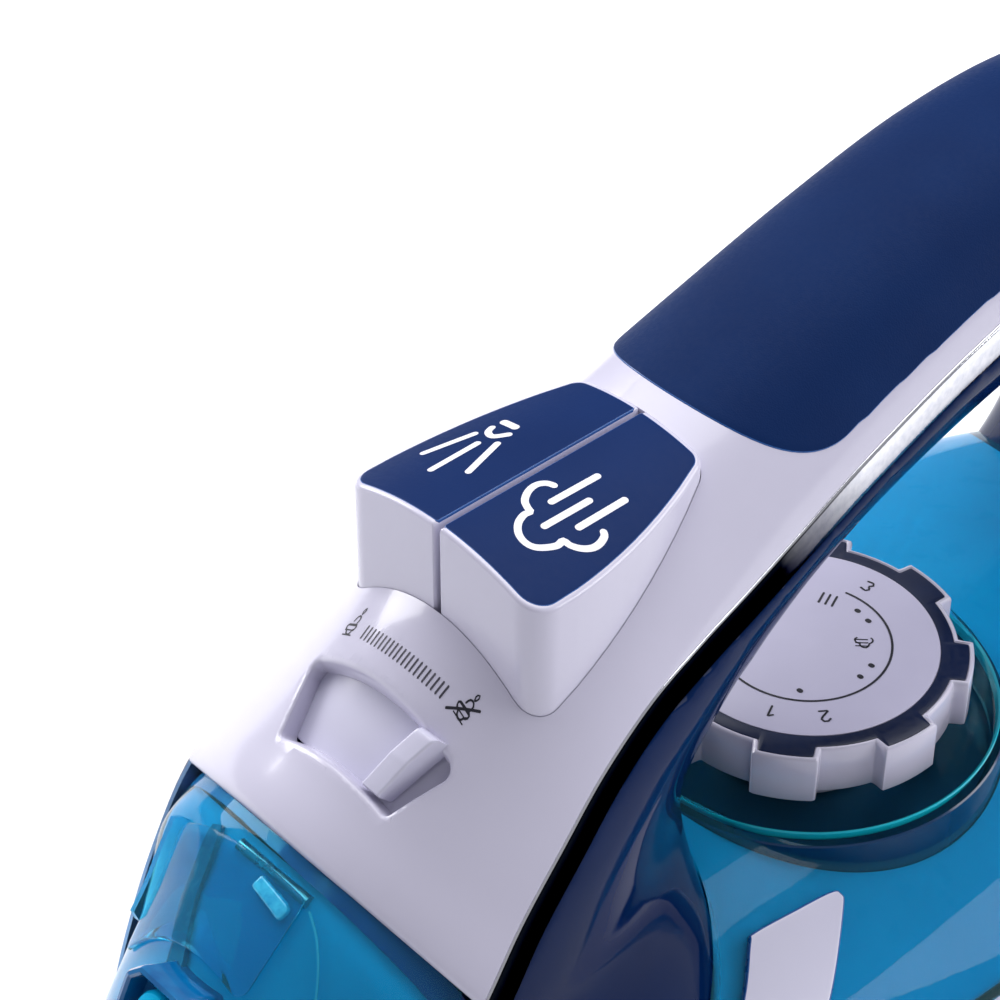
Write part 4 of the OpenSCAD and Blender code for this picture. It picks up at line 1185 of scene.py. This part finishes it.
def plan_ring(inset_by, z):
    line = plan_line(inset_by)
    return np.column_stack([line, np.full(len(line), z)])


skirt = torus_loft("skirt_band", [plan_ring(d, z) for d, z in (
    (6, 6.5), (2.2, 6.5), (1.7, 6.8), (1.6, 7.4), (1.7, 12), (2.0, 15.5), (2.6, 18.8), (3.0, 20.6),
    (3.3, 21.5), (4.0, 21.8), (6, 21.8))])
dress(soften(skirt), WHITE, "white", "housing", "skirt")

# ---- dial --------------------------------------------------------------------------------

LOBE_AT, LOBE_HALF = -53.0, 11.6
KNOB_R, KNOB_Z, RIM_W = 15.9, 48.0, 0.85


def lobed(d):
    """Outline of the dial, drawn in by d, with soft shoulders on its lobes."""
    a = np.linspace(0, 360, 1440, endpoint=False)
    off = np.abs((a - LOBE_AT + 22.5) % 45 - 22.5)
    rise = np.clip((LOBE_HALF - off - d * 1.9) / 1.7 + 0.5, 0, 1)
    rise = rise * rise * (3 - 2 * rise)
    r = GAP_R - d + (LOBE_R - GAP_R) * rise
    a = np.radians(a)
    return np.column_stack([r * np.cos(a), r * np.sin(a) + DIAL_Y])


def dial_ring(d, z):
    line = lobed(d)
    return np.column_stack([line, np.full(len(line), z)])


knob = loft("dial_body", [
    round_line(KNOB_R, RECESS_Z + 0.8, 1440), round_line(KNOB_R, KNOB_Z - 0.2, 1440),
    dial_ring(1.2, KNOB_Z),
    dial_ring(0.35, KNOB_Z + 0.15), dial_ring(0, KNOB_Z + 0.7), dial_ring(0, DIAL_Z - 0.75),
    dial_ring(0.12, DIAL_Z - 0.3), dial_ring(0.4, DIAL_Z - 0.05), dial_ring(0.6, DIAL_Z - 0.04),
    dial_ring(RIM_W, DIAL_Z - 0.35), round_line(20, DIAL_Z - 0.4, 1440),
    round_line(0.1, DIAL_Z - 0.4, 1440)])
dress(soften(knob, 40), WHITE, "white", "dial", "dial_knob")
ink = torus_loft("dial_band", [
    dial_ring(RIM_W + 0.05, DIAL_Z - 0.38), dial_ring(RIM_W + 0.05, DIAL_Z - 0.2),
    dial_ring(RIM_W + 0.2, DIAL_Z - 0.12), round_line(FACE_R + 0.12, DIAL_Z - 0.12, 1440),
    round_line(FACE_R + 0.12, DIAL_Z - 0.38, 1440)])
dress(soften(ink), INK, "ink", "dial", "dial_ring")
face = [(0, DIAL_Z - 1.3), (FACE_R, DIAL_Z - 1.3), (FACE_R, DIAL_Z - 0.06),
        (FACE_R - 0.15, DIAL_Z), (12, DIAL_Z + 0.03), (0, DIAL_Z + 0.04)]
dress(soften(turned("dial_disc", face, (0, DIAL_Y)), 50), DISC, "white", "dial", "dial_face")


def on_face(x, y):
    return np.array([x, y + DIAL_Y, DIAL_Z + 0.05]), np.array([0, 0, 1.0])


def polar(r, degrees, along=0.0, out=0.0):
    """Point beside the place at a radius and bearing, for marks that stand outwards."""
    a = math.radians(degrees)
    radial, across = np.array([math.cos(a), math.sin(a)]), np.array([-math.sin(a), math.cos(a)])
    return radial * (r + out) + across * along


GLYPHS = {"1": [[(-0.5, 0.55), (0.1, 1.0), (0.1, -1.0)]],
          "2": [[(-0.6, 0.55), (-0.25, 0.95), (0.3, 0.95), (0.6, 0.5), (0.3, 0.0), (-0.6, -1.0),
                 (0.65, -1.0)]],
          "3": [[(-0.55, 0.85), (0.2, 1.0), (0.55, 0.55), (0.1, 0.05), (0.55, -0.45),
                 (0.2, -0.95), (-0.6, -0.8)]]}
face_marks = [([polar(14.7, a) for a in np.linspace(-135, 104, 120)], 0.42)]
for r, bearing in ((12.3, -50), (12.3, 2), (12.3, 18), (12.3, 72), (12.3, 86)):
    spot = polar(r, bearing)
    face_marks.append(([spot - [0.12, 0], spot + [0.12, 0]], 0.95))
for digit, bearing in (("1", -64), ("2", -36), ("3", 97)):
    for stroke in GLYPHS[digit]:
        face_marks.append(([polar(18.4, bearing, -x * 1.25, y * 1.25) for x, y in stroke], 0.36))
for k in (-1.2, 0, 1.2):
    face_marks.append(([polar(11.6, 113, k, -1.3), polar(11.6, 113, k, 1.3)], 0.4))
cloud = (np.array(CLOUD) - [9.3, -38.5]) * 0.23
cloud = cloud @ np.array([[0.7071, 0.7071], [-0.7071, 0.7071]])
face_marks.append((cloud + polar(10, 45), 0.3))
for k in (-0.8, 0, 0.8):
    face_marks.append(([polar(8.6, 45, k), polar(10.6, 45, k)], 0.26))
dress(print_on("dial_marks", face_marks, on_face, 0.02), MARK, "ink", "dial")

# ---- floor and light ---------------------------------------------------------------------

floor = link("floor", [(-4000, -4000, -0.05), (4000, -4000, -0.05), (4000, 4000, -0.05),
                       (-4000, 4000, -0.05)], [(0, 1, 2, 3)])
floor.data.materials.append(finish_of("floor_paper", srgb(248, 248, 250), srgb(252, 252, 253),
                                      (0.8, 0.9), size=3, grain=400, bump=0.02))
floor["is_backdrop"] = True


def softbox(name, spot, aim, power, size, colour=(1, 1, 1)):
    data = bpy.data.lights.new(name, "AREA")
    data.shape = "RECTANGLE"
    data.size, data.size_y = size
    data.energy = power
    data.color = colour
    ob = bpy.data.objects.new(name, data)
    bpy.context.scene.collection.objects.link(ob)
    ob.location = spot
    ob.rotation_mode = "QUATERNION"
    ob.rotation_quaternion = (Vector(aim) - Vector(spot)).to_track_quat("-Z", "Y")
    return ob


AIM = (0, -0.03, 0.08)
softbox("key", (-1.2, -0.15, 0.75), AIM, 14, (0.9, 0.7))
softbox("rear", (0.75, 0.95, 0.7), AIM, 9, (0.9, 0.6))
softbox("top", (-0.35, 0.45, 1.7), AIM, 24, (1.8, 1.4))

world = bpy.data.worlds.new("studio")
bpy.context.scene.world = world
world.use_nodes = True
sky = world.node_tree.nodes["Background"]
sky.inputs["Color"].default_value = (0.93, 0.94, 1.0, 1)
sky.inputs["Strength"].default_value = 0.36
bpy.context.scene.view_settings.view_transform = "Standard"


def corners(pair):
    return [[float(c) for c in v] for v in pair]


{"cad": corners(cad_box), "visual": corners(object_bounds())}
